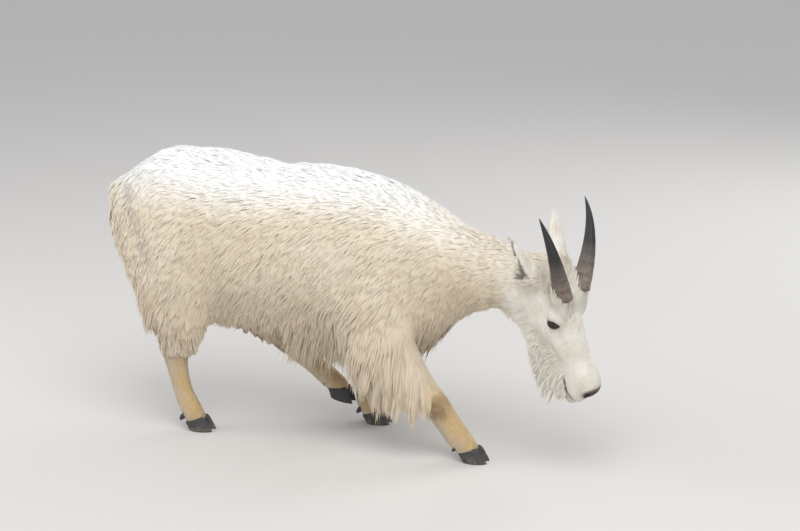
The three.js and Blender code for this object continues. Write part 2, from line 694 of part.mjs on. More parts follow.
const headAxes = [[...steps(-110, 78, 24), ...steps(96, 258, 18), ...steps(272, 367, 13)],
  [...steps(-250, -130, 26), ...steps(-112, 25, 18)], steps(-108, 108, 18)];
let head = skin(bodyField, HEAD_FRAME, headAxes).intersect(beyond(...NECK_HEAD, GAP));
for (const [side, where] of [[1, 'right'], [-1, 'left']]) {
  const ball = eyeball(side, EYE_RADIUS, 12);
  nodes[`eye_${where}`] = ball;
  nodes[`horn_${where}`] = horn(side);
  nodes[`ear_${where}`] = ear(side);
  head = head.add(lid(side, true)).add(lid(side, false))
    .subtract(swollen(ball))
    .subtract(nostrilCut(side));
}
head = head.subtract(mouthCut());
for (const where of ['right', 'left']) {
  head = head.subtract(swollen(nodes[`horn_${where}`]))
    .subtract(swollen(nodes[`ear_${where}`].hull()));
}
nodes.head = head;
for (const where of ['right', 'left']) {
  nodes.neck = nodes.neck.subtract(swollen(nodes[`ear_${where}`]));
}

const TAIL_LINE = [[-826, 0, 716, 26, 22], [-850, 0, 670, 27, 25], [-856, 0, 622, 21, 19],
  [-854, 0, 587, 11, 10]];
nodes.tail = skin(limb(TAIL_LINE), BODY_FRAME, [steps(-930, -800, 14), steps(-45, 45, 13),
  steps(520, 745, 16)]).subtract(swollen(nodes.torso));

// The long coat: flat tapered locks of three sides, rooted under the surface, that bend down.
let state = SEED;
function chance(low, high) {
  state = (Math.imul(state, 1664525) + 1013904223) >>> 0;
  return low + ((high - low) * state) / 2 ** 32;
}

const vec = (a) => new THREE.Vector3(...a);

function surface(field, from, towards) {
  const way = vec(towards).normalize();
  const at = (d) => vec(from).addScaledVector(way, d);
  let low = 0;
  let high = 12;
  while (field(at(high).toArray()) < 0) [low, high] = [high, high + 12];
  for (let pass = 0; pass < 12; pass += 1) {
    const middle = (low + high) / 2;
    if (field(at(middle).toArray()) < 0) low = middle;
    else high = middle;
  }
  const point = at(low);
  const value = field(point.toArray());
  const normal = new THREE.Vector3(...[0, 1, 2].map((n) => {
    const beside = point.toArray();
    beside[n] += 3;
    return field(beside) - value;
  })).normalize();
  return { point, normal };
}

const LOCK_SHAPE = [[0, 1, 1], [0.34, 0.92, 0.9], [0.7, 0.58, 0.6]]; // [way along, width, thickness]
function lock({ point, normal }, lie, length, width, { lift = 0.25, droop = 0.3 } = {}) {
  const flow = vec(lie).addScaledVector(normal, -0.85 * vec(lie).dot(normal)).normalize();
  const size = length * chance(0.86, 1.14);
  const broad = width * chance(0.9, 1.1);
  const sway = vec([chance(-0.16, 0.16), chance(-0.16, 0.16), 0]);
  const at = (t) => point.clone().addScaledVector(normal, lift * size * t * (1.25 - t))
    .addScaledVector(flow, size * t * (1 - droop * t * 0.6))
    .addScaledVector(sway, size * t * t)
    .add(new THREE.Vector3(0, 0, -droop * size * t * t));
  const positions = [];
  LOCK_SHAPE.forEach(([t, wide, thick], i) => {
    const along = at(t + 0.05).sub(at(t)).normalize();
    const across = new THREE.Vector3().crossVectors(normal, along).normalize();
    const over = new THREE.Vector3().crossVectors(along, across).normalize();
    const middle = i === 0
      ? at(0).addScaledVector(normal, -LOCK_ROOT).addScaledVector(flow, -LOCK_ROOT) : at(t);
    for (const [a, b] of [[0.5, -0.3], [0, 0.7], [-0.5, -0.3]]) {
      positions.push(...middle.clone().addScaledVector(across, a * broad * wide)
        .addScaledVector(over, b * LOCK_THICKNESS * thick).toArray());
    }
  });
  positions.push(...at(1).toArray());
  const index = [0, 2, 1, 6, 7, 9, 7, 8, 9, 8, 6, 9];
  for (const a of [0, 3]) {
    for (let j = 0; j < 3; j += 1) {
      const b = (j + 1) % 3;
      index.push(a + j, a + b, a + 3 + b, a + j, a + 3 + b, a + 3 + j);
    }
  }
  const made = solid(positions, index);
  if (made.volume() > 0) return made;
  for (let i = 0; i < index.length; i += 3) [index[i], index[i + 1]] = [index[i + 1], index[i]];
  return solid(positions, index);
}

const locks = { torso: [], neck: [], head: [], tail: [] };
const DOWN = [0, 0, -1];
const along = (from, to, count, make) => {
  for (let i = 0; i < count; i += 1) make(from + ((to - from) * (i + 0.5)) / count, i);
};
// Fringe of the belly: two rows on each side, hanging from the lower flank.
for (const side of [1, -1]) {
  [[20, 72], [44, 84]].forEach(([degrees, length], row) => {
    const angle = THREE.MathUtils.degToRad(degrees);
    along(-505, -185, 8, (x) => locks.torso.push(lock(
      surface(bodyField, [x + 20 * row, 0, 540], [0, side * Math.sin(angle), -Math.cos(angle)]),
      [-0.35, side * 0.1, -1], length, 60, { lift: 0.2, droop: 0.45 })));
  });
  // Long hair of the rump, behind and beside the tail.
  along(20, 86, 3, (degrees, i) => {
    const angle = THREE.MathUtils.degToRad(degrees);
    [610, 500].forEach((z) => locks.torso.push(lock(
      surface(bodyField, [-730, 0, z - 24 * i], [-Math.cos(angle), side * Math.sin(angle), 0]),
      [-0.3, 0, -1], 78, 50, { lift: 0.22, droop: 0.3 })));
  });
}
// Brisket, and the underside of the neck.
for (const side of [1, -1]) {
  along(-90, 60, 3, (x) => locks.torso.push(lock(
    surface(bodyField, [x, 0, 500], [0, side * 0.12, -1]), [-0.3, 0, -1], 60, 44,
    { lift: 0.2, droop: 0.4 })));
  along(90, 260, 3, (x) => locks.neck.push(lock(
    surface(bodyField, [x, -0.3 * x, 500], [0.45, side * 0.35, -1]), [-0.35, 0, -1], 62, 44,
    { lift: 0.2, droop: 0.4 })));
}
// Beard and long hair under the jaw, in the head's frame.
const inBody = (a) => vec(a).applyMatrix4(HEAD_FRAME).toArray();
const turned = (a) => vec(a).transformDirection(HEAD_FRAME).toArray();
for (const side of [1, -1]) {
  along(0, 1, 5, (t) => locks.head.push(lock(
    surface(bodyField, inBody([84 + 232 * t, -90, 0]), turned([0, -1, side * 0.3])),
    turned([1.1 - 0.9 * t, -0.45 - 0.5 * t, side * 0.05]), 66 + 16 * t, 38,
    { lift: 0.2, droop: 0.06 })));
}
// Tail: a short tuft.
const tailField = limb(TAIL_LINE);
along(0, 1, 7, (t, i) => {
  const angle = 2.4 * i;
  locks.tail.push(lock(
    surface(tailField, [-854, 0, 690 - 90 * t], [Math.cos(angle) - 0.7, Math.sin(angle), 0]),
    [-0.25, 0, -1], 58, 30, { lift: 0.2, droop: 0.3 }));
});
// Long hair of the upper legs: rows round the back and the outside, shortest in front.
for (const [name, line] of Object.entries(LEGS)) {
  const made = [];
  const fore = name.startsWith('fore');
  const side = name.endsWith('right') ? -1 : 1;
  const rows = fore ? [2.2, 3.0] : [1.8, 2.6];
  const shy = joined([...trunkFields, legField[name]], BLEND);
  rows.forEach((station, row) => {
    const whole = Math.floor(station);
    const [a, b] = [line[whole], line[whole + 1]];
    const middle = [0, 1, 2].map((n) => a[n] + (b[n] - a[n]) * (station - whole));
    along(-112, 112, 5, (degrees) => {
      const angle = THREE.MathUtils.degToRad(degrees + 12 * row);
      const way = [-Math.cos(angle), side * Math.sin(angle) * 0.9, -0.15];
      made.push(lock(surface(shy, middle, way), [way[0] * 0.25 - 0.1, 0, -1],
        (fore ? 100 : 92) * (degrees < -60 ? 0.7 : 1), 54, { lift: 0.24, droop: 0.4 }));
    });
  });
  locks[`${name}_upper`] = made;
}

// Each node's locks are cut clear of the other nodes and of their locks, then joined to it.
const boxesMeet = (a, b) => {
  const [p, q] = [a.boundingBox(), b.boundingBox()];
  return [0, 1, 2].every((n) => p.min[n] < q.max[n] + 1 && q.min[n] < p.max[n] + 1);
};
const plain = { ...nodes };
const plainCutters = Object.fromEntries(
  Object.entries(plain).map(([name, piece]) => [name, swollen(piece)]));
const grown = [];
for (const [name, made] of Object.entries(locks)) {
  const kept = made.map((one) => {
    let piece = one;
    for (const [other, cutter] of Object.entries(plainCutters)) {
      if (other !== name && boxesMeet(piece, cutter)) piece = piece.subtract(cutter);
    }
    for (const cutter of grown) {
      if (boxesMeet(piece, cutter)) piece = piece.subtract(cutter);
    }
    return piece.isEmpty() ? piece : largest(piece);
  }).filter((piece) => !piece.isEmpty());
  nodes[name] = wasm.Manifold.union([plain[name], ...kept]);
  grown.push(...kept.map((piece) => swollen(piece)));
}

// Materials: [colour, roughness]
const FINISHES = {
  coat: ['#e6dccb', 0.95],
  leg: ['#d3bd93', 0.95],
  horn: ['#3a332d', 0.5],
  hoof: ['#39353a', 0.6],
  eye: ['#1d1410', 0.12],
};

function finishOf(name) {
  if (name.startsWith('horn')) return 'horn';
  if (name.includes('claw')) return 'hoof';
  if (name.startsWith('eye')) return 'eye';
  return name.endsWith('lower') ? 'leg' : 'coat';
}

const group = new THREE.Group();
for (const [name, piece] of Object.entries(nodes)) {
  const mesh = largest(tidied(largest(piece))).getMesh();
  const geometry = new THREE.BufferGeometry();
  geometry.setAttribute('position', new THREE.BufferAttribute(mesh.vertProperties, 3));
  geometry.setIndex(new THREE.BufferAttribute(mesh.triVerts, 1));
  geometry.computeVertexNormals();
  const [color, roughness] = FINISHES[finishOf(name)];
  const item = new THREE.Mesh(geometry, new THREE.MeshStandardMaterial({
    color, roughness, metalness: 0, flatShading: true,
  }));
  item.name = name;
  group.add(item);
}
group.position.copy(CENTRE_SHIFT);

export default group;
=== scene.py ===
import math

import bmesh
import bpy
import numpy as np
import openvdb
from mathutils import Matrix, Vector


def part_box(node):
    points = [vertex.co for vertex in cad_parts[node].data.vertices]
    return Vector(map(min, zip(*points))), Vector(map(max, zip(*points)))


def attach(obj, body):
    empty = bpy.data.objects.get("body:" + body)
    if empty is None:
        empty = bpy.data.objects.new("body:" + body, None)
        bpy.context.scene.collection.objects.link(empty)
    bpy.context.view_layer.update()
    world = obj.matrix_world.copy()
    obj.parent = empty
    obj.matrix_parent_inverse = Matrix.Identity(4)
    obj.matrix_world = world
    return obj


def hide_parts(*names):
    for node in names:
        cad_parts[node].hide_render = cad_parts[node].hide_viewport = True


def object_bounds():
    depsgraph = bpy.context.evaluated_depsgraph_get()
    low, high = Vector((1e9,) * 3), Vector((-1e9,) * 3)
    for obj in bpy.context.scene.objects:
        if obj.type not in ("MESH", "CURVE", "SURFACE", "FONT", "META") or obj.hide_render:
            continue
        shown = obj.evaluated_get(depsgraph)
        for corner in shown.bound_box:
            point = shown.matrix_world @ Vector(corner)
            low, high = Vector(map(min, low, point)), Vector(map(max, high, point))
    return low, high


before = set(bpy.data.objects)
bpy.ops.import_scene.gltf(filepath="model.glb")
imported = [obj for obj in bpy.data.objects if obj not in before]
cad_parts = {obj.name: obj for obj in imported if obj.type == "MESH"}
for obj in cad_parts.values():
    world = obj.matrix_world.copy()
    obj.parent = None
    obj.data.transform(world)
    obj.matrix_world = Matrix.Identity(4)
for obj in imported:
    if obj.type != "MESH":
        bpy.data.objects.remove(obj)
cad_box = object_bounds()
bpy.ops.object.select_all(action="DESELECT")

# The viewer stands a little in front of the animal's right side and looks slightly down at it.
# A long lens keeps the near and the far legs close in size.
GROUND = Vector((0.1405, 0.0385, 0.0))  # the floor under the withers, from which all is measured
LOOK_AT = Vector((0.0, 0.0, 0.5125)) + GROUND
CAMERA_TURN = math.radians(18.0)
CAMERA_RISE = math.radians(15.0)
CAMERA_AWAY = 5.5
LENS = 88.39
FILM_WIDTH = 36.0
camera_way = Vector((
    math.sin(CAMERA_TURN) * math.cos(CAMERA_RISE),
    -math.cos(CAMERA_TURN) * math.cos(CAMERA_RISE),
    math.sin(CAMERA_RISE),
))
bpy.ops.object.camera_add(location=LOOK_AT + CAMERA_AWAY * camera_way)
camera = bpy.context.object
camera.rotation_euler = camera_way.to_track_quat("Z", "Y").to_euler()
camera.data.lens = LENS
camera.data.sensor_width = FILM_WIDTH
bpy.context.scene.camera = camera
bpy.context.scene.view_settings.view_transform = "Standard"

# The skin is one closed form under the whole coat: trunk, neck, legs, tail, head, ears and lips
# run into each other with no seam. It is worked out as a field, negative inside, and meshed.
HOME = np.array(GROUND)
TRUNK_COAT = 0.016  # how deep the coat is over the skin
NECK_COAT = 0.012
THIGH_COAT = 0.013
SHANK_COAT = 0.003
FACE_COAT = 0.003
BEARD_COAT = 0.014
BODY_BLEND = 0.046  # how softly one form runs into the next
FACE_BLEND = 0.014
FAR = 1.0  # a field's value away from its form


def unit(way):
    way = np.asarray(way, float)
    return way / np.linalg.norm(way, axis=-1, keepdims=True)


def soft(value, start, end):
    """0 at start, 1 at end, soft between them."""
    t = np.clip((value - start) / (end - start), 0, 1)
    return t * t * (3 - 2 * t)


def melt(form, other, blend):
    """Both forms as one, with a fillet as wide as the blend."""
    near = np.maximum(blend - np.abs(form - other), 0.0) / blend
    return np.minimum(form, other) - near * near * blend * 0.25


def carve(form, cut, blend):
    return -melt(-form, cut, blend)


def nearby(points, low, high, form):
    """The form's field at the points inside a box, and far outside elsewhere."""
    inside = ((points > low) & (points < high)).all(1)
    field = np.full(len(points), FAR, np.float32)
    if inside.any():
        field[inside] = form(points[inside])
    return field


def limb(points, stations, side=1, power=2.0, steps=4):
    """Ovals along a smooth line through stations of x, y, z, half depth and half width."""
    stations = np.array(stations)
    ends = np.vstack([stations[:1], stations, stations[-1:]])
    fine = []
    for a, b, c, d in zip(ends, ends[1:], ends[2:], ends[3:]):
        for t in np.arange(steps) / steps:
            fine.append(0.5 * (2 * b + (c - a) * t + (2 * a - 5 * b + 4 * c - d) * t**2
                               + (3 * b - a - 3 * c + d) * t**3))
    fine.append(stations[-1])
    fine = np.array(fine, np.float32)
    reach = fine[:, 3:].max() + 0.07

    def sections(p):
        best = np.full(len(p), FAR, np.float32)
        for a, b in zip(fine[:-1], fine[1:]):
            ab = b[:3] - a[:3]
            t = np.clip((p - a[:3]) @ ab / (ab @ ab), 0, 1)
            away = p - a[:3] - t[:, None] * ab
            across = np.abs(away[:, side])
            along = np.sqrt(np.maximum((away * away).sum(1) - across**2, 0))
            depth = a[3] + (b[3] - a[3]) * t
            width = a[4] + (b[4] - a[4]) * t
            q = ((along / depth) ** power + (across / width) ** power) ** (1 / power)
            best = np.minimum(best, (q - 1) * np.minimum(depth, width))
        return best

    return nearby(points, fine[:, :3].min(0) - reach, fine[:, :3].max(0) + reach, sections)


def lump(points, centre, radii, power=2.0):
    """A rounded lump about a centre, squarer with a higher power."""
    radii = np.array(radii, np.float32)
    q = (np.abs((points - np.array(centre, np.float32)) / radii) ** power).sum(1) ** (1 / power)
    return (q - 1) * radii.min()


def worn(stations, *coat):
    """The stations with the depth of the coat taken off, from the first depth to the last."""
    stations = np.array(stations, float)
    stations[:, 3:] -= np.linspace(coat[0], coat[-1], len(stations))[:, None]
    return stations


# The head has a frame of its own: f runs from the poll to the nose, u out of the forehead and r to
# the animal's right. Both halves are alike, so its lines and places are those of the right half.
POLL = np.array([0.496, -0.130, 0.576]) + HOME
FACE = unit([0.3734, -0.0547, -0.9261])
RIGHT = np.array([-0.2798, -0.9584, -0.0562])
RIGHT = unit(RIGHT - FACE * (RIGHT @ FACE))
CROWN = np.cross(RIGHT, FACE)
HEAD = np.array([FACE, CROWN, RIGHT])
HEAD_LENGTH = 0.345
EYE = np.array([0.124, -0.044, 0.054])
EYE_RADIUS = 0.018
HORN_ROOT = np.array([0.066, 0.002, 0.046])
EAR_ROOT = np.array([0.002, -0.058, 0.066])
EAR_TIP = np.array([-0.143, -0.044, 0.121])
EAR_OPENING = np.array([-0.1, -0.66, 0.75])
EAR_WALL = 0.0042
NOSTRIL = np.array([HEAD_LENGTH - 0.001, -0.047, 0.021], np.float32)
TEAR_GROOVE = (0.147, -0.042, 0.060)
MOUTH_LEVEL = -0.092
MOUTH_BEND = 0.062  # back from the nose, where the lips start to curve round it
MOUTH_RUN = 0.078
MOUTH_HALF = 0.037
MOUTH_CORNER = HEAD_LENGTH - 0.064
FACE_LINE = [
    (0.014, -0.066, 0, 0.058, 0.058), (0.062, -0.068, 0, 0.069, 0.066),
    (0.112, -0.070, 0, 0.068, 0.066), (0.165, -0.066, 0, 0.060, 0.054),
    (0.220, -0.061, 0, 0.051, 0.043), (0.270, -0.057, 0, 0.045, 0.038),
    (HEAD_LENGTH - 0.042, -0.055, 0, 0.042, 0.036),
]
JAW_LINE = [
    (0.070, -0.112, 0, 0.048, 0.046), (0.130, -0.116, 0, 0.038, 0.042),
    (0.200, -0.108, 0, 0.027, 0.031), (0.270, -0.101, 0, 0.020, 0.025),
    (HEAD_LENGTH - 0.030, -0.099, 0, 0.018, 0.021),
]
BEARD_LINE = [
    (0.095, -0.118, 0, 0.048, 0.038), (0.160, -0.130, 0, 0.046, 0.034),
    (0.230, -0.136, 0, 0.042, 0.030), (0.298, -0.140, 0, 0.035, 0.022),
]


def ear_forms(p):
    """A leaf that opens outwards, back and down, the cup in it, and the places along and across
    it; p is on the right side."""
    along = unit(EAR_TIP - EAR_ROOT)
    opening = unit(EAR_OPENING - along * (EAR_OPENING @ along))
    across = np.cross(along, opening)
    length = np.linalg.norm(EAR_TIP - EAR_ROOT)
    rel = p - EAR_ROOT
    t = np.clip(rel @ along / length, 0, 1)
    rel = rel - t[:, None] * along * length - (0.010 * t * (1 - t))[:, None] * opening
    bell = np.sin(np.pi * np.minimum(0.22 + 0.78 * t, 1)) ** 0.8
    half = 0.005 + 0.025 * np.maximum(bell, 0) * (1 - 0.35 * t) + 0.004 * soft(t, 0.35, 0.0)
    deep = 0.029 * (1 - t) ** 0.7 * np.minimum(1, 0.4 + 2 * t) + 0.0015
    over = np.maximum(np.abs(rel @ along) - 0.001, 0)
    wide, tall = rel @ across, rel @ opening
    outer = (np.sqrt((wide / half) ** 2 + (tall / deep) ** 2 + (over / 0.004) ** 2) - 1) * deep
    raised = 0.012
    cup_half = np.maximum(half - EAR_WALL, 0.0004)
    cup_deep = np.maximum(deep - EAR_WALL, 0.0004) + raised
    cup = np.sqrt((wide / cup_half) ** 2 + ((tall - raised) / cup_deep) ** 2) - 1
    cup = cup * np.minimum(cup_half, cup_deep) + np.maximum(0.1 - t, 0) * 0.05
    return outer, cup, t, wide / half


def head_form(points):
    p = ((points - POLL) @ HEAD.T).astype(np.float32)
    p[:, 2] = np.abs(p[:, 2])
    form = limb(p, worn(FACE_LINE, FACE_COAT), side=2, power=2.3)
    form = melt(form, limb(p, worn(JAW_LINE, FACE_COAT), side=2), FACE_BLEND)
    form = melt(form, limb(p, worn(BEARD_LINE, BEARD_COAT), side=2), FACE_BLEND)
    for centre, radii, power in (
        ((HEAD_LENGTH - 0.040, -0.054, 0), (0.045, 0.041, 0.035), 2.6),  # muzzle
        ((0.108, -0.024, 0.050), (0.029, 0.017, 0.016), 2),              # brow
        ((0.118, -0.092, 0.032), (0.061, 0.044, 0.028), 2),              # cheek
        ((HORN_ROOT[0] + 0.006, -0.012, 0.042), (0.042, 0.022, 0.034), 2),  # mound at the horn
        ((-0.010, -0.038, 0.068), (0.030, 0.022, 0.018), 2),             # ear root
        ((0.1190, -0.0256, 0.0612), (0.010, 0.009, 0.009), 2),           # fold over the eye
        ((0.1083, -0.0374, 0.0650), (0.010, 0.009, 0.009), 2),
        ((EAR_ROOT[0] + 0.012, EAR_ROOT[1], 0.050), (0.028, 0.028, 0.025), 2),  # under the ear
        ((HEAD_LENGTH - 0.028, -0.077, 0.018), (0.038, 0.018, 0.019), 2),  # upper lip
        ((HEAD_LENGTH - 0.014, -0.106, 0), (0.028, 0.014, 0.022), 2),      # chin
        ((0.155, -0.064, 0.044), (0.060, 0.011, 0.012), 2),                # cheekbone
    ):
        form = melt(form, lump(p, centre, radii, power), FACE_BLEND)
    leaf, cup, t, wide = ear_forms(p)
    form = melt(form, carve(leaf, cup, 0.003), 0.008)
    socket = lump(p, EYE + (0, 0, 0.003), [EYE_RADIUS - 0.0015] * 3)
    form = carve(form, socket, 0.002)
    form = carve(form, lump(p, TEAR_GROOVE, (0.016, 0.007, 0.007)), 0.006)
    hole = p - NOSTRIL
    lean = hole[:, 0] * 0.55 + hole[:, 1] * 0.83
    rise = -hole[:, 0] * 0.83 + hole[:, 1] * 0.55
    comma = np.stack([lean, rise - 40 * lean**2, hole[:, 2]], 1)
    form = carve(form, lump(comma, (0, 0, 0), (0.0055, 0.012, 0.009)), 0.003)
    turn = np.arctan2(p[:, 2] / MOUTH_HALF, (p[:, 0] - HEAD_LENGTH + MOUTH_BEND) / MOUTH_RUN)
    level = MOUTH_LEVEL - 0.005 * np.cos(turn) - 0.004 * np.sin(turn) ** 6
    line = np.abs(p[:, 1] - level) - 0.0016 * np.clip(2.6 - 1.6 * turn, 0.3, 1)
    behind = MOUTH_CORNER - p[:, 0]
    shallow = -form - 0.009
    form = carve(form, np.maximum(np.maximum(line, behind), shallow), 0.003)
    return form.astype(np.float32)


TRUNK = [
    (-0.750, 0, 0.636, 0.070, 0.070), (-0.708, 0, 0.604, 0.164, 0.110),
    (-0.655, 0, 0.594, 0.214, 0.138), (-0.560, 0, 0.584, 0.236, 0.158),
    (-0.450, 0, 0.570, 0.234, 0.168), (-0.340, 0, 0.556, 0.232, 0.170),
    (-0.240, 0, 0.558, 0.236, 0.164), (-0.150, 0, 0.553, 0.232, 0.150),
    (-0.060, 0, 0.536, 0.212, 0.132), (0.020, -0.008, 0.516, 0.184, 0.112),
]
NECK = [
    (-0.040, -0.008, 0.546, 0.184, 0.112), (0.060, -0.022, 0.533, 0.168, 0.100),
    (0.150, -0.042, 0.530, 0.142, 0.086), (0.240, -0.064, 0.536, 0.116, 0.074),
    (0.330, -0.088, 0.530, 0.098, 0.068), (0.410, -0.108, 0.520, 0.082, 0.060),
]
LEG_Y = 0.112
LEGS = {
    "fore_right": [
        (-0.075, -0.088, 0.560, 0.128, 0.052), (-0.048, -0.104, 0.430, 0.108, 0.062),
        (-0.008, -0.114, 0.335, 0.088, 0.056), (0.050, -0.118, 0.248, 0.072, 0.047),
        (0.106, -LEG_Y, 0.190, 0.050, 0.040), (0.142, -LEG_Y, 0.152, 0.044, 0.037),
        (0.176, -LEG_Y, 0.106, 0.039, 0.032), (0.205, -LEG_Y, 0.068, 0.038, 0.033),
        (0.231, -LEG_Y, 0.036, 0.033, 0.031)],
    "fore_left": [
        (-0.085, 0.088, 0.560, 0.128, 0.052), (-0.075, 0.104, 0.430, 0.106, 0.062),
        (-0.076, 0.112, 0.330, 0.082, 0.056), (-0.098, 0.112, 0.245, 0.060, 0.045),
        (-0.122, LEG_Y, 0.186, 0.041, 0.037), (-0.134, LEG_Y, 0.140, 0.034, 0.031),
        (-0.142, LEG_Y, 0.095, 0.031, 0.029), (-0.138, LEG_Y, 0.064, 0.033, 0.031),
        (-0.124, LEG_Y, 0.034, 0.031, 0.031)],
    "hind_right": [
        (-0.668, -0.074, 0.585, 0.130, 0.062), (-0.646, -0.098, 0.450, 0.118, 0.068),
        (-0.634, -0.106, 0.350, 0.086, 0.056), (-0.642, -0.104, 0.280, 0.060, 0.044),
        (-0.648, -0.104, 0.226, 0.044, 0.036), (-0.640, -0.104, 0.168, 0.035, 0.030),
        (-0.626, -0.104, 0.112, 0.032, 0.029), (-0.606, -0.104, 0.066, 0.033, 0.031),
        (-0.590, -0.104, 0.036, 0.031, 0.031)],
    "hind_left": [
        (-0.680, 0.074, 0.585, 0.150, 0.062), (-0.600, 0.100, 0.468, 0.138, 0.068),
        (-0.512, 0.108, 0.378, 0.104, 0.056), (-0.444, 0.106, 0.304, 0.068, 0.044),
        (-0.396, 0.104, 0.243, 0.046, 0.037), (-0.350, 0.104, 0.202, 0.038, 0.031),
        (-0.304, 0.104, 0.167, 0.033, 0.029), (-0.261, 0.104, 0.135, 0.033, 0.031),
        (-0.225, 0.104, 0.106, 0.031, 0.030)],
}
TAIL = [
    (-0.780, 0, 0.716, 0.020, 0.018), (-0.838, 0, 0.690, 0.019, 0.017),
    (-0.856, 0, 0.640, 0.014, 0.012), (-0.856, 0, 0.600, 0.007, 0.006),
]


def skin_form(points):
    """The skin's field in the frame of the CAD, in metres."""
    p = (points - HOME).astype(np.float32)
    form = limb(p, worn(TRUNK, TRUNK_COAT), power=2.3)
    for side in (-1, 1):
        haunch = lump(p, (-0.684, 0.062 * side, 0.588), (0.094, 0.066, 0.168))
        form = melt(form, haunch, BODY_BLEND)
    form = melt(form, limb(p, worn(NECK, TRUNK_COAT, NECK_COAT), power=2.2), BODY_BLEND)
    for line in LEGS.values():
        form = melt(form, limb(p, worn(line, THIGH_COAT, SHANK_COAT)), BODY_BLEND)
    form = melt(form, limb(p, TAIL), 0.012)
    low, high = POLL - (0.20, 0.22, 0.45), POLL + (0.20, 0.22, 0.20)
    return melt(form, nearby(points.astype(np.float32), low, high, head_form), BODY_BLEND)


COARSE = 0.0100  # mesh steps on the body, under the long coat
FINE = 0.0033  # mesh steps on the head
STRIDE = 4
DEEPEST = 0.03  # the field's values stop here, inside and out
EDGE = 0.03  # room left round the animal


def grid_axis(*stops):
    """Samples from stop to stop, each pair of stops with the step between them."""
    parts = []
    for start, step, end in zip(stops[::2], stops[1::2], stops[2::2]):
        count = max(1, round((end - start) / step))
        parts.append(np.linspace(start, end, count, endpoint=False))
    samples = np.concatenate(parts + [[stops[-1]]])
    return np.append(samples, samples[-1] + COARSE * np.arange(1, STRIDE - len(samples) % STRIDE + 2))


head_low, head_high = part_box("head")
ears_top = max(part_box("ear_left")[1].z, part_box("ear_right")[1].z)
grid = [
    grid_axis(cad_box[0][0] - EDGE, COARSE, head_low.x + EDGE, FINE, head_high.x + 0.012,
              COARSE, head_high.x + EDGE),
    grid_axis(cad_box[0][1] - EDGE, COARSE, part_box("ear_right")[0].y - 0.006, FINE,
              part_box("ear_left")[1].y + 0.004, COARSE, cad_box[1][1] + EDGE),
    grid_axis(0.012, COARSE, head_low.z + EDGE, FINE, ears_top + 0.008, COARSE,
              cad_box[1][2] + EDGE),
]


def sampled(axes):
    return np.stack(np.meshgrid(*axes, indexing="ij"), -1).reshape(-1, 3)


# The field is worked out on every fourth sample, and in full only near the skin.
rough_grid = [a[::STRIDE] for a in grid]
rough = skin_form(sampled(rough_grid)).reshape([len(a) for a in rough_grid])
values = rough
for n in range(3):
    at = np.interp(grid[n], rough_grid[n], np.arange(len(rough_grid[n])))
    before = np.minimum(at.astype(int), len(rough_grid[n]) - 2)
    part = (at - before).reshape([-1 if k == n else 1 for k in range(3)])
    values = np.take(values, before, n) * (1 - part) + np.take(values, before + 1, n) * part
values = values.astype(np.float32)
spacing = [np.gradient(a) * STRIDE for a in grid]
cell = np.sqrt(spacing[0][:, None, None] ** 2 + spacing[1][None, :, None] ** 2
               + spacing[2][None, None, :] ** 2)
band = np.nonzero(np.abs(values) < cell)
values[band] = skin_form(np.stack([grid[n][band[n]] for n in range(3)], 1))
np.clip(values, -DEEPEST, DEEPEST, out=values)
level_set = openvdb.FloatGrid(DEEPEST)
level_set.copyFromArray(values)
skin_points, skin_quads = level_set.convertToQuads(0.0)
skin_points = np.stack([np.interp(skin_points[:, n], np.arange(len(grid[n])), grid[n])
                        for n in range(3)], 1)


def piece_of(name, points, faces):
    """A mesh object from arrays of points and of equal-sided faces."""
    mesh = bpy.data.meshes.new(name)
    mesh.vertices.add(len(points))
    mesh.vertices.foreach_set("co", np.ascontiguousarray(points, np.float32).ravel())
    mesh.loops.add(faces.size)
    mesh.loops.foreach_set("vertex_index", np.ascontiguousarray(faces, np.int32).ravel())
    mesh.polygons.add(len(faces))
    mesh.polygons.foreach_set("loop_start", np.arange(0, faces.size, faces.shape[1], dtype=np.int32))
    mesh.update(calc_edges=True)
    mesh.validate()
    mesh.polygons.foreach_set("use_smooth", np.ones(len(mesh.polygons), bool))
    piece = bpy.data.objects.new(name, mesh)
    bpy.context.scene.collection.objects.link(piece)
    return piece


def give(piece, label, values):
    """Keeps one number for each of the piece's points, for its material to read."""
    made = piece.data.attributes.new(label, "FLOAT", "POINT")
    made.data.foreach_set("value", np.asarray(values, np.float32))


KNEE = (0.150, -0.125, 0.152)
# The two ends of the painted shadow between the tail and the thigh.
SHADE_FROM = np.array([-0.765, -0.08, 0.69])
SHADE_TO = np.array([-0.700, -0.12, 0.55])


def marks(points, facings):
    """Shares of the ears, their hollow with its painted shade, gold shanks, a brown knee and the
    painted shadow between the tail and the thigh.
    """
    p = ((points - POLL) @ HEAD.T).astype(np.float32)
    p[:, 2] = np.abs(p[:, 2])
    leaf, cup, t, wide = ear_forms(p)
    ear = (leaf < 0.005) * (p[:, 0] < -0.008)
    hollow = ear * soft(cup, 0.0032, 0.0010) * soft(t, 0.85, 0.62) * soft(np.abs(wide), 0.98, 0.62)
    at = points - HOME
    low = soft(at[:, 2], 0.27, 0.15) * (at[:, 0] < 0.30)
    gold = low * soft(facings[:, 0], -0.55, 0.45)
    knee = soft(np.linalg.norm(at - KNEE, axis=1), 0.050, 0.018)
    run = SHADE_TO - SHADE_FROM
    share = np.clip((at - SHADE_FROM) @ run / (run @ run), 0, 1)
    away = np.linalg.norm((at - SHADE_FROM - share[:, None] * run) * (1, 0.4, 0.6), axis=1)
    return {"ear": ear, "hollow": hollow, "gold": gold, "knee": knee,
            "shade_by_tail": soft(away, 0.035, 0.008)}


skin = piece_of("skin", skin_points, skin_quads)
skin_normals = np.empty(len(skin_points) * 3, np.float32)
skin.data.vertex_normals.foreach_get("vector", skin_normals)
skin_normals = skin_normals.reshape(-1, 3)
for label, values in marks(skin_points, skin_normals).items():
    give(skin, label, values)


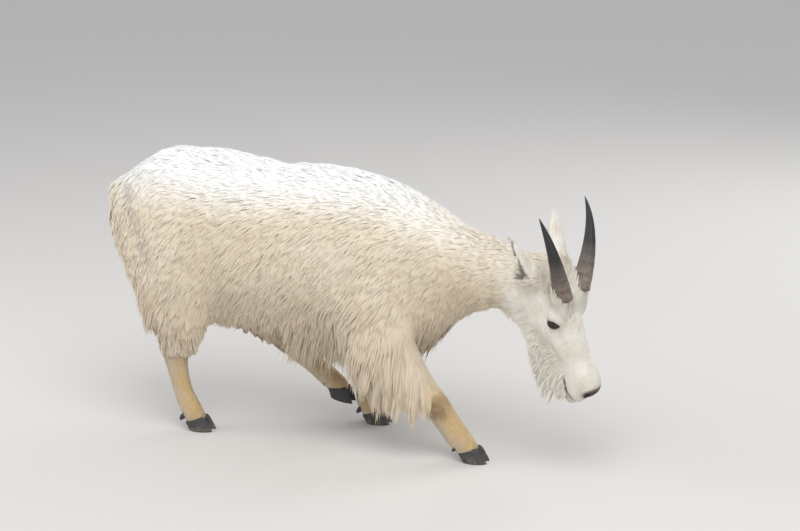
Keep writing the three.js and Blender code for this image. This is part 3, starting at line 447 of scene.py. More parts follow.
class Dye:
    """A value or colour in a material, with the sums that its pattern needs."""

    def __init__(self, tree, socket=None):
        self.tree = tree
        self.socket = socket

    def node(self, kind, settings=None, sockets=None, out=0):
        made = self.tree.nodes.new(kind)
        for key, value in (settings or {}).items():
            if key == "stops":
                while len(made.color_ramp.elements) < len(value):
                    made.color_ramp.elements.new(0.5)
                for element, (place, colour) in zip(made.color_ramp.elements, value):
                    element.position = place
                    element.color = (*colour, 1.0)
            else:
                setattr(made, key, value)
        for key, value in (sockets or {}).items():
            if isinstance(value, Dye):
                self.tree.links.new(value.socket, made.inputs[key])
            elif isinstance(value, tuple) and len(value) == 3 and made.inputs[key].type == "RGBA":
                made.inputs[key].default_value = (*value, 1.0)
            else:
                made.inputs[key].default_value = value
        return Dye(self.tree, made.outputs[out])

    def worked(self, operation, other=0.0):
        return self.node("ShaderNodeMath", {"operation": operation}, {0: self, 1: other})

    def __add__(self, other):
        return self.worked("ADD", other)

    __radd__ = __add__

    def __sub__(self, other):
        return self.worked("SUBTRACT", other)

    def __rsub__(self, other):
        return self.node("ShaderNodeMath", {"operation": "SUBTRACT"}, {0: other, 1: self})

    def __mul__(self, other):
        return self.worked("MULTIPLY", other)

    __rmul__ = __mul__

    def __truediv__(self, other):
        return self.worked("DIVIDE", other)

    def least(self, other):
        return self.worked("MINIMUM", other)

    def most(self, other):
        return self.worked("MAXIMUM", other)

    def away_from(self, point):
        """This place as seen from a point."""
        return self.node("ShaderNodeVectorMath", {"operation": "SUBTRACT"},
                         {0: self, 1: tuple(point)})

    def along(self, way):
        """How far this place lies along a way."""
        return self.node("ShaderNodeVectorMath", {"operation": "DOT_PRODUCT"},
                         {0: self, 1: tuple(way)}, 1)

    def axis(self, n):
        return self.node("ShaderNodeSeparateXYZ", None, {0: self}, n)

    def lit(self, level):
        """This colour made lighter or darker."""
        return self.node("ShaderNodeVectorMath", {"operation": "SCALE"}, {0: self, 3: level})

    def relief(self, strength, height):
        """Normals for a surface that this value raises."""
        return self.node("ShaderNodeBump", None,
                         {"Strength": strength, "Distance": height, "Height": self})

    def mark(self, label):
        """A number that each point of the piece keeps."""
        return self.node("ShaderNodeAttribute", {"attribute_name": label}, out=2)

    def fade(self, start, end):
        """0 at start, 1 at end, soft between them."""
        return self.node("ShaderNodeMapRange", {"interpolation_type": "SMOOTHSTEP"},
                         {0: self, 1: start, 2: end})

    def mix(self, under, over):
        """From one colour to the other as this value goes from 0 to 1."""
        return self.node("ShaderNodeMix", {"data_type": "RGBA"}, {0: self, 6: under, 7: over}, 2)

    def noise(self, scale, detail=2.0, stretch=(1, 1, 1)):
        place = self.node("ShaderNodeMapping", None, {0: self, 3: stretch})
        return self.node("ShaderNodeTexNoise", None,
                         {"Vector": place, "Scale": scale, "Detail": detail})


def material(name):
    """A new material, its start for patterns, its surface node and its object coordinates."""
    made = bpy.data.materials.new(name)
    made.use_nodes = True
    start = Dye(made.node_tree)
    surface = made.node_tree.nodes["Principled BSDF"]
    return made, start, surface, start.node("ShaderNodeTexCoord", out=3)


def feed(dye, surface, socket):
    dye.tree.links.new(dye.socket, surface.inputs[socket])


SUNLIT_CREST_WHITE = (0.79, 0.785, 0.76)
CREAM = (0.76, 0.68, 0.55)
WARM = (0.68, 0.58, 0.43)
LOW_BODY_SHADE = (0.52, 0.425, 0.31)
NECK_SHADE_PAINTED = (0.55, 0.455, 0.33)
TAIL_SHADOW_GREY = (0.44, 0.40, 0.35)
FACE_WHITE = (0.78, 0.75, 0.68)
FACE_CREAM = (0.68, 0.63, 0.53)
TAN = (0.56, 0.40, 0.19)
BROWN = (0.20, 0.12, 0.065)
EAR_HOLLOW_SHADE = (0.13, 0.10, 0.085)
NOSE_BAND = (0.20, 0.14, 0.11)
NOSE_PAD = (0.07, 0.05, 0.045)
LIP_AND_CREASE_SHADE = (0.10, 0.06, 0.045)
DARK_SKIN_AND_NOSTRIL_SHADE = (0.035, 0.028, 0.026)


def coat_colours(start, place):
    """Cream all over, paler along the crest with painted sunlight on it, white on the face, gold and
    brown on the legs; painted shade low on the body, on the neck, in the ear hollows and nostrils,
    dark lips with painted shade in the mouth line, and a painted shadow by the tail.
    """
    home = place.away_from(HOME)
    x, z = home.axis(0), home.axis(2)
    cloud = place.noise(5.0, 3.0)
    mottle = place.noise(24.0, 4.0)
    crest_line = (0.79 - (x + 0.06).most(0.0) * 0.42).least(0.80)
    crest = (z - crest_line + cloud * 0.08).fade(-0.12, 0.02)
    colour = (cloud * 0.6 + mottle * 0.5).fade(0.3, 0.85).mix(CREAM, WARM)
    # Painted shade: darker and browner towards the bottom of the body.
    colour = (z.fade(0.62, 0.28) * 0.65).mix(colour, LOW_BODY_SHADE)
    # Painted shade: darker and browner forward along the neck.
    colour = (x.fade(0.0, 0.22) * 0.55).mix(colour, NECK_SHADE_PAINTED)
    # Paler hair along the crest, partly real and partly painted sunlight on the top of the back.
    colour = (crest * (1 - x.fade(-0.05, 0.30) * 0.75)).mix(colour, SUNLIT_CREST_WHITE)
    from_poll = place.away_from(POLL)
    f, u, r = (from_poll.along(way) for way in HEAD)
    r = r.worked("ABSOLUTE")
    head = (f.fade(-0.06, 0.06) * x.fade(0.30, 0.36)).most(start.mark("ear"))
    colour = head.mix(colour, mottle.fade(0.3, 0.8).mix(FACE_WHITE, FACE_CREAM))
    # Painted shade in the hollow of each ear.
    colour = (start.mark("hollow") * 0.85).mix(colour, EAR_HOLLOW_SHADE)
    nose = u.fade(-0.066, -0.050) * f.fade(0.326, 0.340) * (0.036 - r).fade(0.0, 0.006)
    colour = (nose * 0.9).mix(colour, NOSE_BAND)
    colour = (nose * u.fade(-0.050, -0.042) * u.fade(-0.012, -0.022)).mix(colour, NOSE_PAD)
    # Painted shade in the nostril pits. The same dark colour is the real dark skin of the lid rims.
    hole = (((f - 0.346) * (f - 0.346) + (u + 0.049) * (u + 0.049)
             + (r - 0.021) * (r - 0.021) * 0.7) * 10000).fade(1.1, 0.5)
    colour = hole.mix(colour, DARK_SKIN_AND_NOSTRIL_SHADE)
    turn = (r / MOUTH_HALF).worked("ARCTAN2", (f - HEAD_LENGTH + MOUTH_BEND) / MOUTH_RUN)
    level = turn.worked("COSINE") * -0.005 + MOUTH_LEVEL
    # The dark line of the mouth: dark lip skin, with painted shade in the crease between the lips.
    lips = (u - level).worked("ABSOLUTE").fade(0.0042, 0.0020) * f.fade(0.278, 0.284) * head
    colour = (lips * 0.85).mix(colour, LIP_AND_CREASE_SHADE)
    # Painted shadow: grey where the tail shades the thigh.
    colour = (start.mark("shade_by_tail") * 0.55).mix(colour, TAIL_SHADOW_GREY)
    stain = start.mark("gold") * (cloud + mottle).fade(0.55, 1.15)
    colour = (stain * 0.9).mix(colour, TAN)
    return (start.mark("knee") * mottle.fade(0.25, 0.65) * 0.8).mix(colour, BROWN)


# The skin is painted a tenth darker than the hair. This is painted shade, so that where the skin
# shows it matches the shaded fur over it.
SKIN_SHADE_UNDER_COAT = 0.90  # how light the skin is, against the hair over it
flesh, start, surface, place = material("skin_under_coat")
feed(coat_colours(start, place).lit(SKIN_SHADE_UNDER_COAT), surface, "Base Color")
surface.inputs["Roughness"].default_value = 0.9
skin.data.materials.append(flesh)
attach(skin, "root")
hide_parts(*[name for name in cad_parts
                    if name in ("torso", "neck", "head", "tail")
                    or name.startswith("ear") or name.endswith(("upper", "lower"))])

# The eyes are glossy dark balls, each with a level pupil in a brown iris. They sit in sockets of
# the skull, as in the solids, and show only between the lids.
PUPIL_WIDE, PUPIL_TALL = 0.0066, 0.0026
IRIS_EDGE = 0.0105
PUPIL_BLACK = (0.002, 0.002, 0.003)
IRIS_DARK = (0.016, 0.008, 0.007)
IRIS_BROWN = (0.040, 0.018, 0.013)
EYE_RIM = (0.018, 0.011, 0.010)


def in_head(points):
    """Points given in the head's frame, in the frame of the CAD."""
    return np.asarray(points) @ HEAD + POLL


def eye_axes(side):
    """Out of the eye, along its opening, and up across that."""
    gaze = unit([0.26, 0.12, side])
    along = np.array([0.66, 0.75, 0.0])
    along = unit(along - gaze * (along @ gaze))
    return gaze, along, np.cross(along, gaze) * -side


def lofted(name, rings):
    """A closed piece through rings of equally many points, closed at each end by a fan of triangles
    to the middle of the end ring.
    """
    rings = np.asarray(rings, float)
    count, sides = rings.shape[:2]
    points = np.concatenate([rings.reshape(-1, 3), [rings[0].mean(0)], [rings[-1].mean(0)]])
    i, j = np.meshgrid(np.arange(count - 1), np.arange(sides), indexing="ij")
    i, j = i.ravel(), j.ravel()
    k = (j + 1) % sides
    a, b, c, d = i * sides + j, i * sides + k, (i + 1) * sides + k, (i + 1) * sides + j
    first, last = count * sides, count * sides + 1
    j, k = np.arange(sides), (np.arange(sides) + 1) % sides
    end = (count - 1) * sides
    faces = np.concatenate([
        np.stack([a, b, c], 1), np.stack([a, c, d], 1),
        np.stack([k, j, np.full(sides, first)], 1),
        np.stack([end + j, end + k, np.full(sides, last)], 1)])
    piece = piece_of(name, points, faces)
    form = bmesh.new()
    form.from_mesh(piece.data)
    bmesh.ops.recalc_face_normals(form, faces=form.faces)
    form.to_mesh(piece.data)
    form.free()
    return piece


for side, name in ((1, "eye_right"), (-1, "eye_left")):
    centre = in_head(EYE * (1, 1, side))
    bpy.ops.mesh.primitive_uv_sphere_add(segments=48, ring_count=32, radius=EYE_RADIUS,
                                         location=centre)
    ball = bpy.context.object
    ball.name = "ball_of_" + name
    bpy.ops.object.transform_apply(location=True)
    bpy.ops.object.shade_smooth()
    wet, _, surface, place = material(name + "_wet")
    from_centre = place.away_from(centre)
    across, up = (from_centre.along(way @ HEAD) for way in eye_axes(side)[1:])
    wide = (across / PUPIL_WIDE) * (across / PUPIL_WIDE)
    tall = (up / PUPIL_TALL) * (up / PUPIL_TALL)
    brown = from_centre.noise(420.0, 3.0).fade(0.3, 0.7).mix(IRIS_DARK, IRIS_BROWN)
    colour = (wide + tall).fade(0.7, 1.3).mix(PUPIL_BLACK, brown)
    off_middle = (across * across + up * up).worked("SQRT")
    colour = off_middle.fade(IRIS_EDGE, IRIS_EDGE + 0.002).mix(colour, EYE_RIM)
    feed(colour, surface, "Base Color")
    surface.inputs["Roughness"].default_value = 0.25
    surface.inputs["Specular IOR Level"].default_value = 0.1
    surface.inputs["Coat Weight"].default_value = 0.8
    surface.inputs["Coat Roughness"].default_value = 0.03
    ball.data.materials.append(wet)
    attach(ball, "root")
    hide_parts(name)

# The lids are two curved bands over each eye that meet at its corners. Their bare rims are dark
# and damp, and short hair covers the rest.
LID_REACH = math.radians(72)  # from the middle of the opening to its corners
LID_BACK = math.radians(80)  # how far back they go under the skin
LID_EDGES = {"upper": math.radians(25), "lower": math.radians(23)}
# The hair on the lids is darker than the face's. This is painted shade, so that the smooth lids,
# which face the light, match the shaded fur round them.
LID_HAIR_SHADED = (0.56, 0.54, 0.49)
for side, name in ((1, "right"), (-1, "left")):
    gaze, along, up = eye_axes(side)
    centre = EYE * (1, 1, side)
    for part, widest in LID_EDGES.items():
        upward = 1 if part == "upper" else -1
        rings, rims = [], []
        for turn in np.linspace(-LID_REACH, LID_REACH, 33):
            openness = max(math.cos(turn / LID_REACH * math.pi / 2), 0.0) ** 0.8
            lead = 0.08 * math.sin(turn / LID_REACH * math.pi)
            edge = math.radians(2) + widest * (openness + lead)
            loop = [(0.0002, edge + (LID_BACK - edge) * t) for t in np.linspace(1, 0, 9)]
            loop += [(0.0008, edge - 0.035), (0.0016, edge - 0.020)]
            loop += [(0.0024 + 0.0008 * math.sin(math.pi * t), edge + (LID_BACK - edge) * t)
                     for t in np.linspace(0, 1, 11)]
            ring = []
            for deep, tilt in loop:
                far = EYE_RADIUS + deep * (0.55 + 0.45 * openness)
                tilt *= upward
                ring.append(centre + far * (gaze * math.cos(tilt) * math.cos(turn)
                                            + along * math.cos(tilt) * math.sin(turn)
                                            + up * math.sin(tilt)))
                rims.append(abs(tilt) - edge)
            rings.append(in_head(ring))
        lid = lofted(f"lid_{part}_{name}", rings)
        give(lid, "from_rim", [*rims, 0.4, 0.4])
        rim, start, surface, place = material(f"lid_{part}_{name}")
        hair_from = 0.12 if part == "upper" else 0.10
        hairy = (start.mark("from_rim") + place.noise(300.0) * 0.08).fade(hair_from, 0.22)
        feed(hairy.mix(DARK_SKIN_AND_NOSTRIL_SHADE, LID_HAIR_SHADED), surface, "Base Color")
        feed(hairy * 0.5 + 0.35, surface, "Roughness")
        lid.data.materials.append(rim)
        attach(lid, "root")

# The horns are hollow black sheaths on bone cores. They rise from the forehead, bend back, and
# taper to a sharp tip, with rings of growth round the lower half.
HORN_LINE = [HORN_ROOT, np.array([-0.060, 0.071, 0.112]), np.array([-0.161, 0.065, 0.121])]
HORN_BASE = 0.027
HORN_TIP = 0.0014
HORN_RINGS = 9
HORN_SUNK = np.array([0.002, -0.036, -0.010])  # how its foot goes on into the skull
HORN_BROWNS = (0.150, 0.112, 0.085), (0.240, 0.190, 0.150)
HORN_GREYS = (0.070, 0.058, 0.050), (0.120, 0.102, 0.090)
HORN_BLACKS = (0.012, 0.011, 0.011), (0.028, 0.026, 0.026)
GROOVE = (0.045, 0.034, 0.026)


def on_horn(t, side):
    """A place on the horn's middle line, from its root at 0 to its tip at 1."""
    a, b, c = (p * (1, 1, side) for p in HORN_LINE)
    return a * (1 - t) ** 2 + 2 * b * t * (1 - t) + c * t * t


def turns_round(count):
    return np.linspace(0, 2 * math.pi, count, endpoint=False)


sheath, start, surface, place = material("horn_sheath")
up_horn = start.mark("up_horn")
streak = place.noise(90.0, 4.0)
fine = place.noise(600.0, 3.0)
streaky = streak.fade(0.3, 0.7)
uneven = up_horn + streak * 0.15
colour = uneven.fade(0.18, 0.38).mix(streaky.mix(*HORN_BROWNS), streaky.mix(*HORN_GREYS))
colour = uneven.fade(0.38, 0.54).mix(colour, fine.fade(0.3, 0.8).mix(*HORN_BLACKS))
ringed = (up_horn * HORN_RINGS * 2 * math.pi + streak * 2.5).worked("SINE")
groove = ringed.fade(0.2, 1.0) * up_horn.fade(0.5, 0.3)
colour = (groove * 0.30).mix(colour, GROOVE)
feed(colour, surface, "Base Color")
feed(0.55 - up_horn * 0.22 + fine * 0.10, surface, "Roughness")
feed((fine * 0.5 + streak).relief(0.35, 0.0012), surface, "Normal")
for side, name in ((1, "horn_right"), (-1, "horn_left")):
    rings, heights = [], []
    for t in np.concatenate([[-0.10, -0.05], np.linspace(0, 0.985, 150), [0.994, 1.0]]):
        high = max(t, 0.0)
        centre = on_horn(high, side) - 10 * min(t, 0.0) * HORN_SUNK * (1, 1, side)
        along = unit(on_horn(high + 0.01, side) - on_horn(high - 0.01, side))
        across = unit(np.array([0.0, 0.0, side]) - along * (along[2] * side))
        front = np.cross(across, along)
        size = HORN_BASE * max(1 - high, 0) ** 0.82 * (1 - 0.12 * high) + HORN_TIP * (1 - high**8)
        size *= 1 + min(t, 0.0) * 1.5
        ring = []
        for turn in turns_round(40):
            swell = math.sin(2 * math.pi * HORN_RINGS * high + 0.9 * math.cos(turn) + 0.5)
            swell = 0.013 * max(swell, -0.55) * np.clip((0.55 - high) / 0.2, 0, 1)
            rib = 0.006 * math.cos(9 * turn + 3 * high) * (1 - high)
            wide = size * (1 + swell + rib)
            ring.append(centre + wide * (front * math.cos(turn) + 0.84 * across * math.sin(turn)))
            heights.append(high)
        rings.append(in_head(ring))
    horn = lofted("sheath_of_" + name, rings)
    give(horn, "up_horn", [*heights, 0.0, 1.0])
    horn.data.materials.append(sheath)
    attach(horn, "root")
    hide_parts(name)

# Each hoof is two claws of dark horn with flat soles, the tops slanting down to the heel, and two
# small dewclaws behind the pastern.
CLAW_LENGTH, CLAW_WIDTH, CLAW_HEIGHT = 0.068, 0.029, 0.044
CORONET, CORONET_SLOPE = CLAW_HEIGHT - 0.004, 0.34
CLAW_GAP = 0.0044
DEWCLAW = 0.0095
CLAW_BLACKS = (0.028, 0.026, 0.030), (0.070, 0.064, 0.066)
DUST = (0.26, 0.21, 0.15)
FEET = {  # the middle of each foot, and how far its toes dip in degrees
    "fore_right": ((0.256, -LEG_Y, 0.0), 0), "fore_left": ((-0.102, LEG_Y, 0.0), 0),
    "hind_right": ((-0.570, -LEG_Y + 0.008, 0.0), 0),
    "hind_left": ((-0.212, LEG_Y - 0.008, 0.065), 14),
}


def at_foot(points, foot):
    middle, dip = FEET[foot]
    c, s = math.cos(math.radians(dip)), math.sin(math.radians(dip))
    turn = np.array([[c, 0, s], [0, 1, 0], [-s, 0, c]])
    return np.asarray(points) @ turn.T + middle + HOME


hoof_horn, _, surface, place = material("hoof_horn")
streak = place.noise(160.0, 4.0, (1, 1, 5))
dust = place.noise(45.0, 4.0)
colour = streak.fade(0.3, 0.75).mix(*CLAW_BLACKS)
colour = (place.axis(2).fade(0.030, 0.0) * dust.fade(0.4, 0.7) * 0.55).mix(colour, DUST)
feed(colour, surface, "Base Color")
feed(0.5 + dust * 0.3, surface, "Roughness")
feed(streak.relief(0.4, 0.001), surface, "Normal")
for foot in FEET:
    for inner, part in ((1, "left"), (-1, "right")):
        rings = []
        for t in (0.0, 0.012, 0.05, 0.14, 0.28, 0.42, 0.56, 0.70, 0.84, 0.95, 1.0):
            tuck = 0.05 * max(0.05 - t, 0) / 0.05 + 0.10 * max(t - 0.93, 0) / 0.07
            flare = (1 - 0.16 * t + 0.012 * math.sin(26 * t)) - tuck
            ring = []
            for turn in turns_round(44):
                c, s = math.cos(turn), math.sin(turn)
                toe = (0.56 if c > 0 else 0.44) * CLAW_LENGTH
                x_at = toe * math.copysign(abs(c) ** 0.85, c) * flare - 0.020 * t
                half = 0.5 * CLAW_WIDTH * (1 - 0.42 * c * c if c > 0 else 1)
                y_at = half * s * flare * (0.92 if s * inner < 0 else 1)
                lean = -inner * 0.05
                gap = inner * 0.5 * (CLAW_WIDTH + CLAW_GAP)
                ring.append((x_at * math.cos(lean) - y_at * math.sin(lean),
                             x_at * math.sin(lean) + y_at * math.cos(lean) + gap,
                             t * (CORONET + CORONET_SLOPE * x_at)))
            rings.append(at_foot(ring, foot))
        claw = lofted(f"hoof_{foot}_{part}", rings)
        claw.data.materials.append(hoof_horn)
        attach(claw, "root")
        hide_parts(f"claw_{foot}_{part}")
        rings = []
        for t in np.linspace(0, 1, 9):
            wide = DEWCLAW * (1 - 0.30 * t) * math.sqrt(max(1 - max(t - 0.6, 0)**2 / 0.17, 0.02))
            ring = [(-0.048 - 0.016 * t, inner * 0.015 + wide * math.cos(turn),
                     0.044 - 0.013 * t + 1.2 * wide * math.sin(turn))
                    for turn in turns_round(24)]
            rings.append(at_foot(ring, foot))
        dewclaw = lofted(f"small_claw_{foot}_{part}", rings)
        dewclaw.data.materials.append(hoof_horn)
        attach(dewclaw, "root")
        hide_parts(f"dewclaw_{foot}_{part}")

# The coat is some hundred thousand tapered tufts rooted in the skin. Each is a bent, three-sided
# sliver of hair that follows the lie of the coat there, and leans to its neighbours in locks.
SEED = 20417
POOL = 700000  # places on the skin, from which each piece of coat draws its roots
rng = np.random.default_rng(SEED)
triangles = np.concatenate([skin_quads[:, [0, 1, 2]], skin_quads[:, [0, 2, 3]]])
corner = skin_points[triangles]
facing = np.cross(corner[:, 1] - corner[:, 0], corner[:, 2] - corner[:, 0])
area = np.linalg.norm(facing, axis=1)
share = np.cumsum(area) / area.sum()
chosen = np.minimum(np.searchsorted(share, rng.random(POOL)), len(share) - 1)
weight = rng.dirichlet((1, 1, 1), POOL)
root = np.einsum("nk,nkc->nc", weight, corner[chosen])
out = unit(np.einsum("nk,nkc->nc", weight, skin_normals[triangles[chosen]]))
x, y, z = (root - HOME).T
f, u, r = ((root - POLL) @ HEAD.T).T
side_of_face = np.sign(r)
r = np.abs(r)
on_head = np.stack([f, u, r], 1)

# Where each root is: shares of the head, an ear, the tail, the neck, the legs, belly and rump.
ear_way = unit(EAR_TIP - EAR_ROOT)
from_ear = on_head - EAR_ROOT
up_ear = from_ear @ ear_way
off_ear = np.linalg.norm(from_ear - up_ear[:, None] * ear_way, axis=1)
in_head_box = (u < 0.08) & (r < 0.16) & (f > -0.17) & (x > 0.30)
ear_share = in_head_box * soft(up_ear, 0.012, 0.030) * (off_ear < 0.040)
head_share = np.where(in_head_box, np.maximum(soft(f, -0.035, 0.045), ear_share), 0)
tail_share = soft(x, -0.800, -0.822) * (np.abs(y) < 0.035) * soft(z, 0.75, 0.73) * (z > 0.56)
neck_share = soft(x, 0.02, 0.16) * (1 - head_share)
middle_y = np.interp(x, (0.02, 0.41), (-0.008, -0.108))
crest_z = np.minimum(0.80, 0.79 - 0.42 * np.maximum(x + 0.06, 0))
below_crest = crest_z - z
fore = x > -0.30
leg_top = np.where(fore, 0.36, 0.34)
leg_share = soft(z, leg_top + 0.06, leg_top - 0.04) * (1 - head_share)
leg_share[x > 0.30] = 0
belly_share = (soft(z, 0.46, 0.36) * (1 - leg_share) * (1 - head_share)
               * (1 - soft(x, 0.04, 0.10)))
rump_share = soft(x, -0.60, -0.74) * (1 - leg_share)
chest_share = soft(x, 0.02, 0.12) * soft(z, 0.50, 0.40) * (1 - leg_share) * (1 - head_share)
brow_share = soft(u, -0.03, 0.0) * soft(f, 0.14, 0.09)
beard_share = (soft(-(out @ CROWN), 0.15, 0.55) * soft(f, 0.335, 0.305) * soft(f, 0.02, 0.08)
               * (u < -0.085))
horn_way = unit(on_horn(0.15, 1) - on_horn(0.0, 1))
from_horn = on_head - HORN_ROOT
up_the_horn = from_horn @ horn_way
off_horn = np.linalg.norm(from_horn - up_the_horn[:, None] * horn_way, axis=1)
by_horn = soft(off_horn, 0.056, 0.034) * (np.abs(up_the_horn) < 0.07) * (head_share > 0.5)
is_head = head_share > 0.5


# The lie of the coat: backwards along the crest, back and down on the flanks, and down elsewhere.
# On the face it runs back from the nose, forward under the jaw, and up the ears and horns.
def blended(share, under, over):
    """From one lie to another as the share goes from 0 to 1."""
    share = np.asarray(share)[:, None]
    return np.asarray(under) * (1 - share) + np.asarray(over) * share


def both_sides(way):
    """A way given for the right side of the head, turned for the side that each root is on."""
    return np.stack([np.full(POOL, way[0]), np.full(POOL, way[1]), way[2] * side_of_face], 1)


lie = blended(soft(below_crest, 0.02, 0.22), (-1.0, 0.0, -0.05), (-0.62, 0.0, -0.80))
for share, way in (
    (neck_share * soft(below_crest, 0.03, 0.20), (-0.70, 0.10, -0.72)),
    (rump_share, (-0.22, 0.0, -1.0)),
    (belly_share, (-0.28, 0.0, -1.0)),
    (leg_share * fore, (-0.10, 0.0, -1.0)),
    (leg_share * ~fore, (0.14, 0.0, -1.0)),
    (chest_share, (-0.25, 0.0, -1.0)),
):
    lie = blended(share, lie, way)
face_lie = np.stack([-np.ones(POOL), -0.45 - 0.5 * soft(u, -0.06, -0.12), 0.10 * side_of_face], 1)
for share, way in (
    (brow_share, (-1.0, 0.5, 0.0)),
    (beard_share, (0.72, -0.68, 0.0)),
    (by_horn, both_sides(horn_way)),
    (ear_share > 0.5, both_sides(ear_way)),
):
    face_lie = blended(share, face_lie, way)
lie = np.where(is_head[:, None], face_lie @ HEAD, lie)
lie += rng.normal(0, 0.10, (POOL, 3))
hanging = np.where(is_head, beard_share, np.maximum(belly_share, leg_share * (z > 0.2)))
flat = np.where(is_head, 0.95 - 0.75 * np.maximum(beard_share, by_horn), 0.95 - 0.5 * hanging)
lie = unit(lie - out * (lie * out).sum(1, keepdims=True) * flat[:, None])
sideways = np.where(is_head[:, None], side_of_face[:, None] * RIGHT,
                    np.sign(y - middle_y)[:, None] * np.array([0.0, 1.0, 0.0]))
outer = unit(out + sideways * (1.6 * soft(-out[:, 2], 0.1, 0.7) * hanging)[:, None])

# How long the hair is, in metres, and how far it stands off the skin.
CREST_HAIR = 0.034
FORE_FRINGE = 0.096
HIND_FRINGE = 0.042
SHANK_HAIR = 0.013
NOSE_HAIR = 0.0075
EAR_HAIR = 0.0095
BEARD_HAIR = 0.034
TAIL_HAIR = 0.060
FACE_LIFT = 0.26  # as a share of the hair's length
BODY_LIFT = 0.31
length = CREST_HAIR + 0.012 * soft(below_crest, 0.20, 0.38)
length += 0.012 * rump_share * soft(z, 0.66, 0.45)
length += 0.030 * belly_share * soft(z, 0.42, 0.34)
length += neck_share * (0.004 + 0.022 * soft(below_crest, 0.20, 0.34) * soft(x, 0.36, 0.22))
length -= 0.012 * neck_share * soft(x, 0.28, 0.38)
fringe_share = leg_share * soft(z, np.where(fore, 0.190, 0.225), np.where(fore, 0.235, 0.270))
length *= 1 - leg_share
length += fringe_share * np.where(fore, FORE_FRINGE, HIND_FRINGE)
length += (leg_share - fringe_share) * SHANK_HAIR
face_length = NOSE_HAIR + 0.010 * soft(f, 0.26, 0.04) + 0.010 * soft(u, -0.09, -0.13)
face_length += BEARD_HAIR * beard_share * soft(f, 0.06, 0.24) + 0.006 * by_horn
face_length *= 0.4 + 0.6 * soft(np.linalg.norm(on_head - EYE, axis=1), 0.022, 0.045)
face_length = np.where(ear_share > 0.5, EAR_HAIR, face_length)
length = length * (1 - head_share) + face_length * head_share
length = np.where(tail_share > 0.5, TAIL_HAIR, length)
length *= rng.uniform(0.78, 1.18, POOL)
lift = np.where(is_head, FACE_LIFT, BODY_LIFT - 0.08 * soft(below_crest, 0.16, 0.04))
droop = 0.35 * soft(length, 0.04, 0.09)

# No hair grows on the eyes, the horns, the nose pad and the hooves.
by_eye = (on_head - EYE) @ np.array(eye_axes(1)).T / (0.035, 0.0195, 0.0115)
bare = (by_eye**2).sum(1) < 1
bare |= (off_horn < 0.021) & (up_the_horn > -0.004) & (up_the_horn < 0.05) & (x > 0.30)
bare |= lump(on_head, HORN_ROOT + (0.003, -0.010, -0.003), (0.020, 0.024, 0.018)) < 0
bare |= lump(on_head, (HEAD_LENGTH + 0.004, -0.048, 0.0), (0.014, 0.014, 0.034)) < 0
bare |= z < CORONET + 0.006
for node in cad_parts:
    if node.startswith("claw"):
        low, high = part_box(node)
        bare |= ((root > np.array(low) - 0.004) & (root < np.array(high) + 0.001)).all(1)

# All tufts share one hair: pale and dry, with a soft sheen, each tuft a little lighter or darker.
hair, start, surface, place = material("coat_hair")
level = 1.0 + start.mark("shade") * 0.13 + start.mark("reach") * 0.04
feed(coat_colours(start, place).lit(level), surface, "Base Color")
surface.inputs["Roughness"].default_value = 0.75
surface.inputs["Specular IOR Level"].default_value = 0.25
surface.inputs["Sheen Weight"].default_value = 0.25
surface.inputs["Sheen Roughness"].default_value = 0.5
root_marks = marks(root, out)
PATCH = 0.003
SWAY = 0.07  # how unevenly the tufts bend, as a share of their length
SUNK = 0.035  # how much of a tuft is in the skin
RIDGE = 0.3  # how high a tuft is, as a share of its width
LOWEST = 0.003  # tips stay this far above the floor
SLIVERS = {  # ways along a tuft, and how wide it is there
    "short": ((0.0, 1.0),),
    "middling": ((0.0, 0.85), (0.50, 0.90)),
    "long": ((0.0, 0.80), (0.35, 1.0), (0.70, 0.66)),
}


def unwrapped(places, facings):
    """The skin under these roots as flat charts, one for each way that it faces, side by side."""
    axis = np.abs(facings).argmax(1)
    chart = axis * 2 + (np.take_along_axis(facings, axis[:, None], 1)[:, 0] > 0)
    flat = np.where((axis == 0)[:, None], places[:, [1, 2]],
                    np.where((axis == 1)[:, None], places[:, [0, 2]], places[:, [0, 1]]))
    kinds = np.unique(chart)
    boxes = {k: (flat[chart == k].min(0), np.ptp(flat[chart == k], 0)) for k in kinds}
    order = sorted(kinds, key=lambda k: -boxes[k][1][1])
    scale = 0.98 / max(boxes[k][1].max() for k in kinds)
    while True:
        corner_at, spots, row_height = np.array([0.0, 0.0]), {}, 0.0
        for k in order:
            size = boxes[k][1] * scale + 0.01
            if corner_at[0] + size[0] > 1:
                corner_at, row_height = np.array([0.0, corner_at[1] + row_height]), 0.0
            spots[k] = corner_at.copy()
            corner_at[0] += size[0]
            row_height = max(row_height, size[1])
        if corner_at[1] + row_height <= 1:
            break
        scale *= 0.96
    uv = np.zeros_like(flat)
    for k in kinds:
        uv[chart == k] = (flat[chart == k] - boxes[k][0]) * scale + spots[k]
    return np.clip(uv + 0.002, 0, 1 - PATCH)


def drawn(where, count):
    """Roots for this many tufts, denser where the share is larger."""
    keys = rng.random(POOL) ** (1 / np.maximum(where * ~bare, 1e-9))
    keys[(where <= 0) | bare] = 0
    picks = np.argsort(keys)[::-1][:count]
    return np.sort(picks[keys[picks] > 0])


